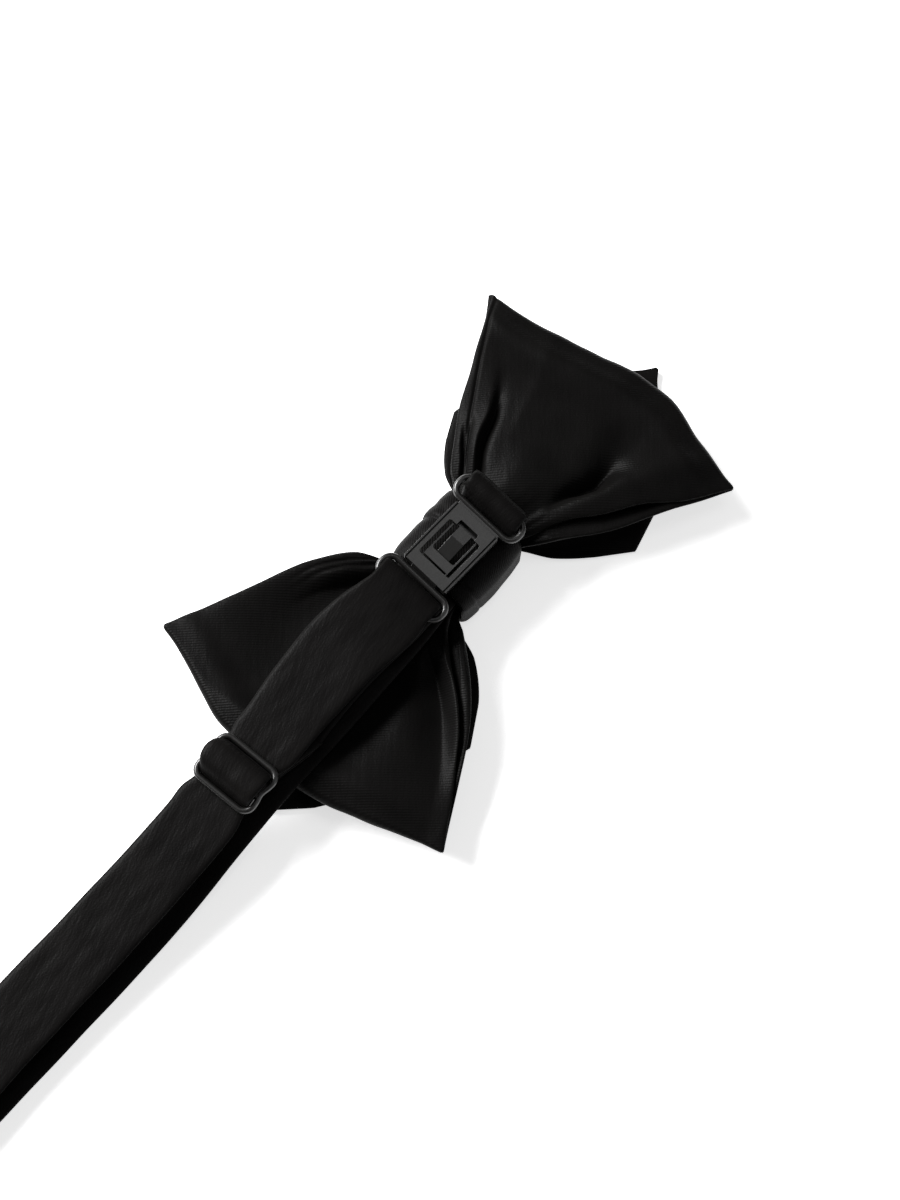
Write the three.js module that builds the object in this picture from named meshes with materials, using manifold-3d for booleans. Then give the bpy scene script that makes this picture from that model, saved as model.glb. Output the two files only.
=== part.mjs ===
// A pre-tied diamond point bow tie of black satin, lying face down with its neck strap fastened and
// laid out flat. Millimetres. The origin is the middle of the knot's front face, on the table; +X runs
// along the bow away from the strap, +Y across it, and +Z up, towards the wearer's neck.
import * as THREE from "three";
import { mergeVertices } from "three/addons/utils/BufferGeometryUtils.js";
import Module from "manifold-3d";

const wasm = await Module();
wasm.setup();

// Cloth and metal thicknesses, and the room that pieces leave each other.
const CLOTH = 1.0;
const KNOT_CLOTH = 1.6;
const STRAP = 0.9;
const STRAP_EDGE = { inset: 0.4, lift: 0.4 };
const TAB_HALF = 7.1;
const WIRE = 1.4;
const GAP = 0.3;

// The knot: a band wrapped round the gathered middle of both bows.
const KNOT = { halfWidth: 9.5, halfHeight: 10.9, thick: 15.2, corner: 5, crown: 0.7, pressed: 0.6 };
const KNOT_GROOVE = { place: 0.45, width: 0.14, depth: 0.45 };

// Where each layer lies inside the knot, at the middle of its cloth.
const LAYER = { front: 2.5, lower: 5.3, upper: 8.5, strap: 11.1, tabIn: 10.65, tabOut: 11.95 };

// The fastened clasp lies on the knot's back, a little turned and tilted: the strap pulls its left end
// down. Its own frame has its origin under the box's middle, with x along it and y across.
const CLASP = { at: [-2.45, -0.2, 16.4], turned: [0.15, -0.07, -0.062] };
const BOX = { halfLength: 8.1, half: 6, height: 2.5, sheet: 0.6, floor: 0.5, clip: 0.4 };
const RING = { half: 8.55, corner: 2.3, z: 1.3, near: 9.3, far: 14.4 };
const WINDOW = { x0: -5.2, x1: 4.2, half: 4.25, notch: 4.8, notchHalf: 2.7 };
const PLATE = { x0: -9.6, x1: 7, half: 5, z: 0.95, sheet: 0.5, clip: 0.8 };
const CATCH = { root: -2.3, top: 1.9, tip: 4.5, half: 1.8, slotHalf: 3.2, slotEnd: 5.6, rise: 0.85 };

// The slider: two long bars and a middle bar between side wires, lying on the strap past the left wing.
const SLIDER = { x: -67.9, y: 2.25, z: 15, bars: 5.3, half: 7.3, waist: 0.5, corner: 2.2, slope: 0.1 };

// One row for each station from the knot to a wing's end corners: x along the wing, both side edges in
// y, and the heights of the upper and the lower wall of the loop.
const BACK_RIGHT = [
  { x: 0, top: 8, bottom: -8, upper: LAYER.upper, lower: LAYER.lower },
  { x: 9.5, top: 8.4, bottom: -8.4, upper: 9.1, lower: 5.5 },
  { x: 14, top: 13.6, bottom: -13.8, upper: 10.3, lower: 5.5 },
  { x: 20, top: 17.8, bottom: -18.4, upper: 12.2, lower: 5.2 },
  { x: 33, top: 24.2, bottom: -25.4, upper: 12.6, lower: 5 },
  { x: 48, top: 32.7, bottom: -35.8, upper: 10.2, lower: 6.6 },
];
const BACK_LEFT = [
  { x: 0, top: 8, bottom: -8, upper: LAYER.upper, lower: LAYER.lower },
  { x: 9.5, top: 8.4, bottom: -8.4, upper: 8.9, lower: 5.5 },
  { x: 14, top: 15.6, bottom: -14.2, upper: 10.3, lower: 5.5 },
  { x: 20, top: 20.2, bottom: -17.9, upper: 11.3, lower: 5.2 },
  { x: 31, top: 26.2, bottom: -23.6, upper: 11.3, lower: 5 },
  { x: 49.6, top: 36.1, bottom: -38.6, upper: 8.8, lower: 5.6 },
];
// How far a wing's end fold reaches past its corners, a row for each place across the wing (-1 to 1).
const END_RIGHT = [
  { x: -1, out: 0 },
  { x: -0.65, out: 3.6 },
  { x: -0.29, out: 7.4 },
  { x: -0.09, out: 7.3 },
  { x: 0.19, out: 5.4 },
  { x: 0.63, out: 2.9 },
  { x: 1, out: 1.2 },
];
const END_LEFT = [
  { x: -1, out: 0.8 },
  { x: -0.6, out: 5.4 },
  { x: -0.25, out: 8.8 },
  { x: 0.1, out: 9.8 },
  { x: 0.37, out: 9.2 },
  { x: 0.6, out: 6.4 },
  { x: 0.8, out: 3.5 },
  { x: 1, out: 0.7 },
];

// How far a wall's long edges droop below its middle.
const EDGE_DROOP = { upper: 1.2, lower: -0.6 };

// One row for each pleat of a loop's wall: its place across the wing at the knot and at the end (-1 to
// 1), how far its cloth goes in (-) or out (+), its half width, and the x where it is deepest and where
// it has run out.
const PLEATS_RIGHT = [
  { knot: 0.42, end: 0.62, depth: -2.9, width: 0.16, deepest: 17, gone: 38 },
  { knot: 0.8, end: 0.82, depth: 1.1, width: 0.12, deepest: 15, gone: 50 },
  { knot: -0.42, end: -0.5, depth: -3.1, width: 0.17, deepest: 18, gone: 42 },
  { knot: -0.74, end: -0.78, depth: 1.3, width: 0.13, deepest: 16, gone: 52 },
  { knot: 0.02, end: 0.1, depth: 0.8, width: 0.3, deepest: 20, gone: 46 },
];
const PLEATS_LEFT = [
  { knot: 0.58, end: 0.55, depth: -1.7, width: 0.16, deepest: 18, gone: 44 },
  { knot: 0.84, end: 0.84, depth: 0.9, width: 0.12, deepest: 15, gone: 42 },
  { knot: -0.56, end: -0.62, depth: -2.0, width: 0.16, deepest: 19, gone: 46 },
  { knot: -0.82, end: -0.84, depth: 1.2, width: 0.12, deepest: 16, gone: 50 },
];
const PLEATS_LOWER = [
  { knot: 0.5, end: 0.6, depth: 0.7, width: 0.2, deepest: 20, gone: 36 },
  { knot: -0.5, end: -0.6, depth: 0.7, width: 0.2, deepest: 20, gone: 36 },
  { knot: 0, end: 0, depth: -0.5, width: 0.28, deepest: 16, gone: 30 },
];
const PLEATS_FRONT = [
  { knot: 0.4, end: 0.5, depth: 0.8, width: 0.2, deepest: 18, gone: 34 },
  { knot: -0.4, end: -0.5, depth: 0.8, width: 0.2, deepest: 18, gone: 34 },
];

// The front bow is one leaf from tip to tip; a row for each station out to its diamond point.
const FRONT_RIGHT = [
  { x: 0, top: 7.3, bottom: -7.3, z: LAYER.front },
  { x: 9.5, top: 7.1, bottom: -7.1, z: 2.5 },
  { x: 14.5, top: 15.6, bottom: -15, z: 1.9 },
  { x: 21, top: 20.8, bottom: -21.8, z: 1.2 },
  { x: 27.5, top: 23.9, bottom: -27.3, z: 0.75 },
  { x: 37, top: 22, bottom: -25, z: 0.6 },
  { x: 47, top: 14.6, bottom: -19.6, z: 0.6 },
  { x: 57, top: 4.9, bottom: -11.8, z: 0.8 },
  { x: 62.5, top: -1.4, bottom: -6.6, z: 1.1 },
  { x: 64.6, top: -3.9, bottom: -4.7, z: 1.2 },
];
const FRONT_LEFT = [
  { x: 0, top: 7.3, bottom: -7.3, z: LAYER.front },
  { x: 9.5, top: 7.1, bottom: -7.1, z: 2.5 },
  { x: 14, top: 15.8, bottom: -16.6, z: 1.9 },
  { x: 21, top: 22.3, bottom: -23.6, z: 1.2 },
  { x: 29.5, top: 26.2, bottom: -28.4, z: 0.75 },
  { x: 40, top: 22.6, bottom: -24.8, z: 0.6 },
  { x: 51, top: 14.5, bottom: -18.6, z: 0.6 },
  { x: 60.6, top: 6.6, bottom: -11.6, z: 0.6 },
  { x: 66.2, top: 1.2, bottom: -5.6, z: 0.6 },
  { x: 68.6, top: -1.2, bottom: -2, z: 0.6 },
];

// How far the front leaf's middle is cupped up from its edges.
const FRONT_CUP = 1.1;

// The neck strap's route from inside the knot, round the neck and back to the hook's ring and the
// slider: a row for each place it passes, with its half width there. It lies flat, so its two long runs
// are a few millimetres apart.
const STRAP_RUN_OUT = [
  { x: -1, y: 0, z: LAYER.strap, half: 7.5 },
  { x: -9, y: 0, z: LAYER.strap, half: 7.6 },
  { x: -16, y: -0.6, z: 12.2, half: 7.8 },
  { x: -30, y: -1.2, z: 13.1, half: 7.8 },
  { x: -46, y: -1, z: 12, half: 7.8 },
  { x: -58, y: -0.5, z: 10.4, half: 7.8 },
  { x: -66, y: -0.2, z: 9.3, half: 7.8 },
  { x: -80, y: 0.1, z: 5.8, half: 7.8 },
  { x: -97, y: 0.1, z: 2, half: 7.8 },
  { x: -118, y: 0.6, z: 0.6, half: 7.8 },
  { x: -150, y: 1.6, z: 0.47, half: 7.8 },
  { x: -180, y: 2.2, z: 0.47, half: 7.8 },
  { x: -193, y: 2.4, z: 0.5, half: 7.8 },
];
const NECK_FOLD = { x: -199, y: 2.5, z: 4.6, radius: 4.1, half: 7.8 };
const STRAP_RUN_BACK = [
  { x: -191, y: 2.8, z: 8.2, half: 7.8 },
  { x: -170, y: 3.4, z: 7.4, half: 7.8 },
  { x: -140, y: 3.9, z: 7.2, half: 7.8 },
  { x: -115, y: 3, z: 8.2, half: 7.7 },
  { x: -95, y: 2.2, z: 10.4, half: 7.6 },
  { x: -81, y: 1.9, z: 12.2, half: 7.5 },
];
const STRAP_TO_RING = [
  { x: -56, y: 2.2, z: 15.1, half: 7.7 },
  { x: -46, y: 2.6, z: 16.2, half: 8.3 },
  { x: -34, y: 2.6, z: 17.1, half: 8.8 },
  { x: -25, y: 1.4, z: 17.7, half: 8.8, yaw: -0.04, roll: 0.1 },
  { x: -20.5, y: 0.8, z: 18, half: 8.1, yaw: -0.06, roll: 0.15 },
];
const STRAP_RETURN = [
  { x: -22.5, y: 0.6, z: 15.2, half: 7.8, yaw: -0.05, roll: 0.12 },
  { x: -34, y: 1.4, z: 15.2, half: 7.8 },
  { x: -46, y: 1.4, z: 13.9, half: 7.7 },
  { x: -54, y: 1.2, z: 12.4, half: 7.5 },
];
const SEWN_END = { x: -51.5, y: 0.7, z: 14.1, half: 7.7 };

const smooth = (a, b, t) => {
  const k = Math.min(1, Math.max(0, (t - a) / (b - a)));
  return k * k * (3 - 2 * k);
};
const mix = (a, b, t) => a + (b - a) * t;

// The value of one column at x, through the rows of a table, without overshoot (a monotone cubic).
function along(rows, column, x) {
  const n = rows.length - 1;
  const t = Math.min(Math.max(x, rows[0].x), rows[n].x);
  let i = 0;
  while (i < n - 1 && t > rows[i + 1].x) i++;
  const step = (k) => rows[k + 1].x - rows[k].x;
  const slope = (k) => (rows[k + 1][column] - rows[k][column]) / step(k);
  const tangent = (k) => {
    if (k === 0) return slope(0);
    if (k === n) return slope(n - 1);
    const [a, b] = [slope(k - 1), slope(k)];
    return a * b <= 0 ? 0 : (2 * a * b) / (a + b);
  };
  const h = step(i);
  const s = (t - rows[i].x) / h;
  const rest = 1 - s;
  return (
    rows[i][column] * rest * rest * (1 + 2 * s) +
    rows[i + 1][column] * s * s * (3 - 2 * s) +
    h * (tangent(i) * s * rest * rest - tangent(i + 1) * s * s * rest)
  );
}

// A closed solid through sections, each a ring of points of the same count, going out along one face
// and back along the other. A closed run of sections joins its last to its first; an open one is capped
// by a strip at each end.
function loft(sections, closed) {
  const n = sections[0].length;
  const positions = sections.flat().flatMap((p) => [p.x, p.y, p.z]);
  const faces = [];
  const quad = (a, b, c, d) => faces.push(a, b, c, a, c, d);
  const rows = closed ? sections.length : sections.length - 1;
  for (let i = 0; i < rows; i++) {
    const j = (i + 1) % sections.length;
    for (let k = 0; k < n; k++) {
      const l = (k + 1) % n;
      quad(i * n + k, i * n + l, j * n + l, j * n + k);
    }
  }
  if (!closed) {
    const last = (sections.length - 1) * n;
    for (let k = 0; k < n / 2 - 1; k++) {
      quad(k, n - 1 - k, n - 2 - k, k + 1);
      quad(last + k, last + k + 1, last + n - 2 - k, last + n - 1 - k);
    }
  }
  const geometry = new THREE.BufferGeometry();
  geometry.setAttribute("position", new THREE.Float32BufferAttribute(positions, 3));
  geometry.setIndex(faces);
  return facingOut(geometry);
}

// The same geometry with its faces turned to point outwards.
function facingOut(geometry) {
  const index = geometry.index.array;
  const position = geometry.getAttribute("position");
  const [a, b, c] = [new THREE.Vector3(), new THREE.Vector3(), new THREE.Vector3()];
  let volume = 0;
  for (let i = 0; i < index.length; i += 3) {
    a.fromBufferAttribute(position, index[i]);
    b.fromBufferAttribute(position, index[i + 1]);
    c.fromBufferAttribute(position, index[i + 2]);
    volume += a.dot(b.cross(c));
  }
  if (volume < 0) {
    for (let i = 0; i < index.length; i += 3) [index[i], index[i + 1]] = [index[i + 1], index[i]];
  }
  return geometry;
}

// Sections of a sheet: the surface point(s, v) for each station s and each place v across it, thickened
// both ways.
function sheetSections(stations, across, point, thickness) {
  const eps = 0.01;
  const normal = (i, v) => {
    const before = point(stations[Math.max(0, i - 1)], v);
    const after = point(stations[Math.min(stations.length - 1, i + 1)], v);
    const side = point(stations[i], v + eps).sub(point(stations[i], v - eps));
    return after.sub(before).cross(side).normalize();
  };
  return stations.map((s, i) => {
    const out = across.map((v) => point(s, v).addScaledVector(normal(i, v), thickness / 2));
    const back = across.map((v) => point(s, v).addScaledVector(normal(i, v), -thickness / 2));
    return [...out, ...back.reverse()];
  });
}

const evenly = (count, from, to) => Array.from({ length: count }, (_, i) => mix(from, to, i / (count - 1)));

// How far a set of pleats lifts the cloth at x along the wing and v across it.
function pleatLift(pleats, x, v) {
  return pleats.reduce((sum, p) => {
    const place = mix(p.knot, p.end, smooth(8, 48, x));
    const strength = mix(0.28, 1, smooth(6, p.deepest, x)) * (1 - smooth(p.deepest + 2, p.gone, x));
    const off = (v - place) / p.width;
    return sum + p.depth * strength * Math.exp(-off * off);
  }, 0);
}

// Where the back bow has sections: x along a wing, places across it, closer at its edges, and angles
// round its end.
const WING_X = [0, 5, 9, 12, 15, 19, 24, 30, 37, 44];
const ACROSS_BOW = evenly(17, -1, 1).map((t) => 0.7 * t + 0.3 * Math.sin((t * Math.PI) / 2));
const FOLD_ANGLES = [90, 45, 0, -45, -90];

// The two-loop band of the back bow, as one closed run of sections: out along one wall, round the end
// fold and back along the other, on both sides of the knot.
function backBow() {
  const wing = (rows, end, pleats, side) => {
    const last = rows[rows.length - 1];
    const foldRadius = (last.upper - last.lower) / 2;
    const endX = (v) => last.x + along(end, "out", v);
    const y = (x, v) => mix(along(rows, "bottom", x), along(rows, "top", x), (v + 1) / 2);
    const wall = (name, folds, droop) => (x, v) => {
      const reach = x + (endX(v) - last.x) * smooth(20, last.x, x);
      const z = along(rows, name, x) + pleatLift(folds, x, v) - Math.min(1, x / 20) * droop * v * v;
      return new THREE.Vector3(side * reach, y(x, v), z);
    };
    const upper = wall("upper", pleats, EDGE_DROOP.upper);
    const lower = wall("lower", PLEATS_LOWER, EDGE_DROOP.lower);
    const fold = (degrees, v) => {
      const a = THREE.MathUtils.degToRad(degrees);
      const [top, low] = [upper(last.x, v), lower(last.x, v)];
      const z = mix(low.z, top.z, (1 + Math.sin(a)) / 2);
      return new THREE.Vector3(top.x + side * foldRadius * Math.cos(a), top.y, z);
    };
    return { upper, lower, fold };
  };
  const right = wing(BACK_RIGHT, END_RIGHT, PLEATS_RIGHT, 1);
  const left = wing(BACK_LEFT, END_LEFT, PLEATS_LEFT, -1);
  const walls = (w, name) => WING_X.map((x) => (v) => w[name](x, v));
  const folds = (w) => FOLD_ANGLES.map((a) => (v) => w.fold(a, v));
  const run = [
    ...walls(right, "upper"),
    ...folds(right),
    ...walls(right, "lower").reverse(),
    ...walls(left, "lower").slice(1),
    ...folds(left).reverse(),
    ...walls(left, "upper").slice(1).reverse(),
  ];
  const at = (s, v) => run[(s + run.length) % run.length](v);
  const stations = evenly(run.length + 2, -1, run.length);
  return loft(sheetSections(stations, ACROSS_BOW, at, CLOTH).slice(1, -1), true);
}

// The front bow: one leaf from diamond point to diamond point, widest at its shoulders.
function frontBow() {
  const point = (x, v) => {
    const rows = x < 0 ? FRONT_LEFT : FRONT_RIGHT;
    const d = Math.abs(x);
    const y = mix(along(rows, "bottom", d), along(rows, "top", d), (v + 1) / 2);
    const cup = FRONT_CUP * smooth(12, 30, d) * (1 - smooth(52, 62, d)) * (1 - v * v);
    return new THREE.Vector3(x, y, along(rows, "z", d) + cup + pleatLift(PLEATS_FRONT, d, v));
  };
  const out = (rows) => [3, 6, 9, 12, 15, 18, 21, 24, ...rows.slice(4).map((r) => r.x)];
  const stations = [...out(FRONT_LEFT).map((x) => -x).reverse(), 0, ...out(FRONT_RIGHT)];
  return loft(sheetSections(stations, evenly(13, -1, 1), point, CLOTH), false);
}

// The knot's band: rounded in its wrap, gathered in two grooves, and pressed flat where it rests on the
// table.
function centreKnot() {
  const { halfWidth, halfHeight, thick, corner, crown, pressed } = KNOT;
  const around = roundedLoop(halfHeight - corner, thick / 2 - corner, corner, 6, 4);
  const columns = evenly(11, -1, 1);
  const gather = (share) => {
    const off = (Math.abs(share) - KNOT_GROOVE.place) / KNOT_GROOVE.width;
    return KNOT_GROOVE.depth * Math.exp(-off * off);
  };
  const innerShare = 0.98;
  const sections = around.map(({ a, b, na, nb }) => {
    const face = (share, inward, floor) => {
      const grow = -inward;
      const z = Math.max(thick / 2 - pressed + b + nb * grow, floor);
      return new THREE.Vector3(share * halfWidth, a + na * grow, z);
    };
    const outer = columns.map((c) => face(c, crown * c * c + (gather(c) * (1 + nb)) / 2, 0));
    const inner = columns.map((c) => face(c * innerShare, KNOT_CLOTH, KNOT_CLOTH - pressed));
    return [...outer, ...inner.reverse()];
  });
  return loft(sections, true);
}

// Points round a rounded rectangle with its outward directions: half lengths of the straights, corner
// radius, steps on each corner and on each straight.
function roundedLoop(straightA, straightB, radius, cornerSteps, straightSteps) {
  const corners = [
    { a: straightA, b: straightB, from: 0 },
    { a: -straightA, b: straightB, from: 90 },
    { a: -straightA, b: -straightB, from: 180 },
    { a: straightA, b: -straightB, from: 270 },
  ];
  const points = [];
  corners.forEach((c, i) => {
    for (let k = 0; k <= cornerSteps; k++) {
      const t = THREE.MathUtils.degToRad(c.from + (90 * k) / cornerSteps);
      const [na, nb] = [Math.cos(t), Math.sin(t)];
      points.push({ a: c.a + radius * na, b: c.b + radius * nb, na, nb });
    }
    const [here, next] = [points[points.length - 1], corners[(i + 1) % 4]];
    const to = { a: next.a + radius * here.na, b: next.b + radius * here.nb };
    for (let k = 1; k < straightSteps; k++) {
      const s = k / straightSteps;
      points.push({ ...here, a: mix(here.a, to.a, s), b: mix(here.b, to.b, s) });
    }
  });
  return points;
}

// A closed ring of round wire, flat: centre, half sizes to the wire's middle, corner radius, and how
// far its long sides are pinched in at their middle.
function wireRing(x, y, z, halfX, halfY, corner, pinch = 0) {
  const sides = 8;
  const waistHalf = halfX * 0.45;
  const path = roundedLoop(halfX - corner, halfY - corner, corner, 4, 4);
  const sections = path.map(({ a, b, na, nb }) => {
    const inset = pinch * Math.exp(-((a / waistHalf) ** 2)) * Math.abs(nb);
    return Array.from({ length: sides }, (_, k) => {
      const t = ((k + 0.5) * 2 * Math.PI) / sides;
      const r = (WIRE / 2) * Math.cos(t) - inset;
      return new THREE.Vector3(x + a + na * r, y + b + nb * r, z + (WIRE / 2) * Math.sin(t));
    });
  });
  return loft(sections, true);
}

// A flat band along a route of {x, y, z, half} points, with its long edges thinned. Its sections lie
// along Y, leaning by a point's yaw (x for each y) and roll (z for each y), so a sideways drift only
// shears them.
function band(points, places) {
  const spots = points.map((p) => new THREE.Vector3(p.x, p.y, p.z));
  const curve = new THREE.CatmullRomCurve3(spots, false, "centripetal");
  const sections = places.map((place) => {
    const t = place / (points.length - 1);
    const i = Math.min(points.length - 2, Math.floor(place));
    const value = (name) => mix(points[i][name] ?? 0, points[i + 1][name] ?? 0, smooth(0, 1, place - i));
    const [half, yaw, roll] = [value("half"), value("yaw"), value("roll")];
    const centre = curve.getPoint(t);
    const tangent = curve.getTangent(t);
    const up = new THREE.Vector3(-tangent.z, 0, tangent.x).normalize().multiplyScalar(STRAP / 2);
    const at = (across, lift) => {
      const lean = new THREE.Vector3(yaw * across, across, roll * across);
      return centre.clone().add(lean).addScaledVector(up, lift);
    };
    const { inset, lift } = STRAP_EDGE;
    const side = [at(-half, lift), at(inset - half, 1), at(half - inset, 1), at(half, lift)];
    const other = [at(half, -lift), at(half - inset, -1), at(inset - half, -1), at(-half, -lift)];
    return [...side, ...other];
  });
  return loft(sections, false);
}

// Points of a turn round a bar or fold, in the XZ plane, from one angle to another in degrees.
function turn({ x, z, radius, ...rest }, from, to, steps) {
  return evenly(steps, from, to).map((degrees) => {
    const a = THREE.MathUtils.degToRad(degrees);
    return { ...rest, x: x + radius * Math.cos(a), z: z + radius * Math.sin(a) };
  });
}

// From a bar's middle to the middle of a strap wrapped round it, the ease of a loose turn, and from one
// layer to the next.
const WRAP = WIRE / 2 + GAP + STRAP / 2;
const EASE = 0.05;
const STEP = STRAP + GAP + EASE;

// The clasp's place as a matrix, and the middle of one of its rings' bars, with the lean of that bar.
const CLASP_PLACE = new THREE.Matrix4()
  .makeRotationFromEuler(new THREE.Euler(...CLASP.turned))
  .setPosition(new THREE.Vector3(...CLASP.at));

function claspBar(x, half) {
  const middle = new THREE.Vector3(x, 0, RING.z).applyMatrix4(CLASP_PLACE);
  const lie = new THREE.Vector3(0, 1, 0).transformDirection(CLASP_PLACE);
  const lean = { yaw: lie.x / lie.y, roll: lie.z / lie.y };
  return { x: middle.x, y: middle.y, z: middle.z, radius: WRAP + EASE, half, ...lean };
}

// A place in the slider's own slope: dx along it from its middle bar and dz above that bar.
const onSlider = (dx, dz, half, y = SLIDER.y) => ({
  x: SLIDER.x + dx,
  y,
  z: SLIDER.z + dx * SLIDER.slope + dz,
  half,
});

function neckStrap() {
  const { bars } = SLIDER;
  const inBar = WRAP + EASE;
  const squeezed = 5.9;
  const end = (side) => ({ ...onSlider(side * bars, 0, squeezed), radius: inBar });
  const overTop = WRAP + STEP;
  const crossing = [
    onSlider(-8.5, -inBar - 0.2, 7.2),
    ...turn(end(-1), 270, 360, 3),
    onSlider(-3.4, 1.5, squeezed),
    onSlider(-2.2, overTop - 0.1, 6.5),
    onSlider(0, overTop + 0.15, 6.8),
    onSlider(2.2, overTop - 0.1, 6.5),
    onSlider(3.4, 1.5, squeezed),
    ...turn(end(1), 180, 270, 3),
    onSlider(8.5, -inBar + 0.1, 7.2),
  ];
  const middle = { ...onSlider(0, 0, squeezed, 2.1), radius: WRAP };
  const upperLeg = { ...onSlider(bars, 0, squeezed, 2.1), radius: inBar + STEP };
  const lowerLeg = { ...onSlider(bars, 0, squeezed, 2.1), radius: inBar + 2 * STEP };
  const route = [
    ...STRAP_RUN_OUT,
    ...turn(NECK_FOLD, 265, 95, 7),
    ...STRAP_RUN_BACK,
    ...crossing,
    ...STRAP_TO_RING,
    ...turn(claspBar(-RING.far, TAB_HALF), 100, -90, 7),
    ...STRAP_RETURN,
    ...turn(lowerLeg, 280, 210, 3),
    ...turn(middle, 285, 75, 7),
    ...turn(upperLeg, 180, 280, 4),
    SEWN_END,
  ];
  return band(route, stationsOf(route));
}

// Where a route needs a section: at each of its points, and between two that lie apart.
function stationsOf(route) {
  const [spacing, most] = [4, 3];
  return route.flatMap((p, i) => {
    if (i === route.length - 1) return [i];
    const next = route[i + 1];
    const apart = Math.hypot(next.x - p.x, next.z - p.z);
    const pieces = Math.max(1, Math.min(most, Math.round(apart / spacing)));
    return Array.from({ length: pieces }, (_, k) => i + k / pieces);
  });
}

// The short tab: sewn in the knot, out to the right, over the eye ring's far bar and back.
function strapTab() {
  const bar = claspBar(RING.far, TAB_HALF);
  const rise = bar.z - LAYER.tabOut;
  const tab = (x, z, lean = 0) => {
    const share = { yaw: bar.yaw * lean, roll: bar.roll * lean };
    return { x, y: bar.y / 2, z, half: bar.half, ...share };
  };
  const route = [
    tab(1, LAYER.tabIn),
    tab(9.8, LAYER.tabIn + 0.05),
    tab(bar.x + 0.6, LAYER.tabIn + 0.2 * rise, 0.3),
    tab(bar.x + 1.6, LAYER.tabIn + 0.6 * rise, 0.8),
    ...turn(bar, -10, 180, 8),
    tab(bar.x - bar.radius, LAYER.tabOut + 0.6 * rise, 0.7),
    tab(bar.x - bar.radius + 0.05, LAYER.tabOut + 0.2 * rise, 0.2),
    tab(9.8, LAYER.tabOut + 0.1),
    tab(8.6, LAYER.tabOut),
    tab(1, LAYER.tabOut),
  ];
  return band(route, stationsOf(route));
}

// Booleans: a closed geometry as a solid, and a solid back as a geometry.
function solid(geometry) {
  const bare = geometry.clone().deleteAttribute("normal").deleteAttribute("uv");
  const merged = mergeVertices(bare, 1e-4);
  const mesh = new wasm.Mesh({
    numProp: 3,
    vertProperties: merged.attributes.position.array,
    triVerts: new Uint32Array(merged.index.array),
  });
  return new wasm.Manifold(mesh);
}

function geometryOf(made) {
  const mesh = made.getMesh();
  const geometry = new THREE.BufferGeometry();
  geometry.setAttribute("position", new THREE.BufferAttribute(new Float32Array(mesh.vertProperties), 3));
  geometry.setIndex(new THREE.BufferAttribute(new Uint32Array(mesh.triVerts), 1));
  return geometry;
}

// A plate from z0 to z1 with an outline in x and y, and holes of the same kind.
function plate(outline, z0, z1, holes = []) {
  const shape = new THREE.Shape(outline.map(([x, y]) => new THREE.Vector2(x, y)));
  holes.forEach((h) => shape.holes.push(new THREE.Path(h.map(([x, y]) => new THREE.Vector2(x, y)))));
  const block = new THREE.ExtrudeGeometry(shape, { depth: z1 - z0, bevelEnabled: false });
  return solid(block.translate(0, 0, z0));
}

const oblong = (x0, x1, y0, y1) => [
  [x0, y0],
  [x1, y0],
  [x1, y1],
  [x0, y1],
];

// An oblong with clipped corners.
const clipped = (x0, x1, half, cut) => [
  [x0 + cut, -half],
  [x1 - cut, -half],
  [x1, cut - half],
  [x1, half - cut],
  [x1 - cut, half],
  [x0 + cut, half],
  [x0, half - cut],
  [x0, cut - half],
];

// The ring at one end of the clasp: +1 the eye's, -1 the hook's.
function claspRing(end) {
  const { near, far, half, corner, z } = RING;
  return solid(wireRing((end * (near + far)) / 2, 0, z, (far - near) / 2, half, corner));
}

// The clasp's eye: a box of folded sheet with a stepped window in its top, and the ring that the tab
// holds.
function claspEye() {
  const { halfLength, half, height, sheet, floor, clip } = BOX;
  const w = WINDOW;
  const windowHole = [
    [w.x0, -w.half],
    [w.x1, -w.half],
    [w.x1, -w.notchHalf],
    [w.notch, -w.notchHalf],
    [w.notch, w.notchHalf],
    [w.x1, w.notchHalf],
    [w.x1, w.half],
    [w.x0, w.half],
  ];
  const outline = clipped(-halfLength, halfLength, half, clip);
  const cover = plate(outline, height - sheet, height, [windowHole]);
  const base = plate(outline, 0, floor);
  const sides = [-1, 1].map((side) => {
    const middle = side * (half - sheet / 2);
    const wall = oblong(clip - halfLength, halfLength - clip, middle - sheet / 2, middle + sheet / 2);
    return plate(wall, 0, height);
  });
  const neckOutline = oblong(halfLength - sheet, RING.near, clip - half, half - clip);
  const neck = plate(neckOutline, floor / 2, RING.z + WIRE / 4);
  return geometryOf([base, ...sides, neck, claspRing(1)].reduce((made, piece) => made.add(piece), cover));
}

// The clasp's hook: a flat tongue in the box whose sprung catch rises into the window, and the strap's
// ring.
function claspHook() {
  const p = PLATE;
  const c = CATCH;
  const tongue = plate(clipped(p.x0, p.x1, p.half, p.clip), p.z, p.z + p.sheet, [
    oblong(c.root, c.slotEnd, -c.slotHalf, c.slotHalf),
  ]);
  const top = p.z + p.sheet + c.rise;
  const profile = [
    [c.root - 0.4, p.z],
    [c.root + 0.3, p.z],
    [c.top + 0.2, top - p.sheet],
    [c.tip, top - p.sheet - 0.15],
    [c.tip, top - 0.15],
    [c.top, top],
    [c.root - 0.4, p.z + p.sheet],
  ];
  const shape = new THREE.Shape(profile.map(([x, z]) => new THREE.Vector2(x, z)));
  const rise = new THREE.ExtrudeGeometry(shape, { depth: 2 * c.half, bevelEnabled: false });
  rise.rotateX(Math.PI / 2).translate(0, c.half, 0);
  return geometryOf(tongue.add(solid(rise)).add(claspRing(-1)));
}

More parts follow.
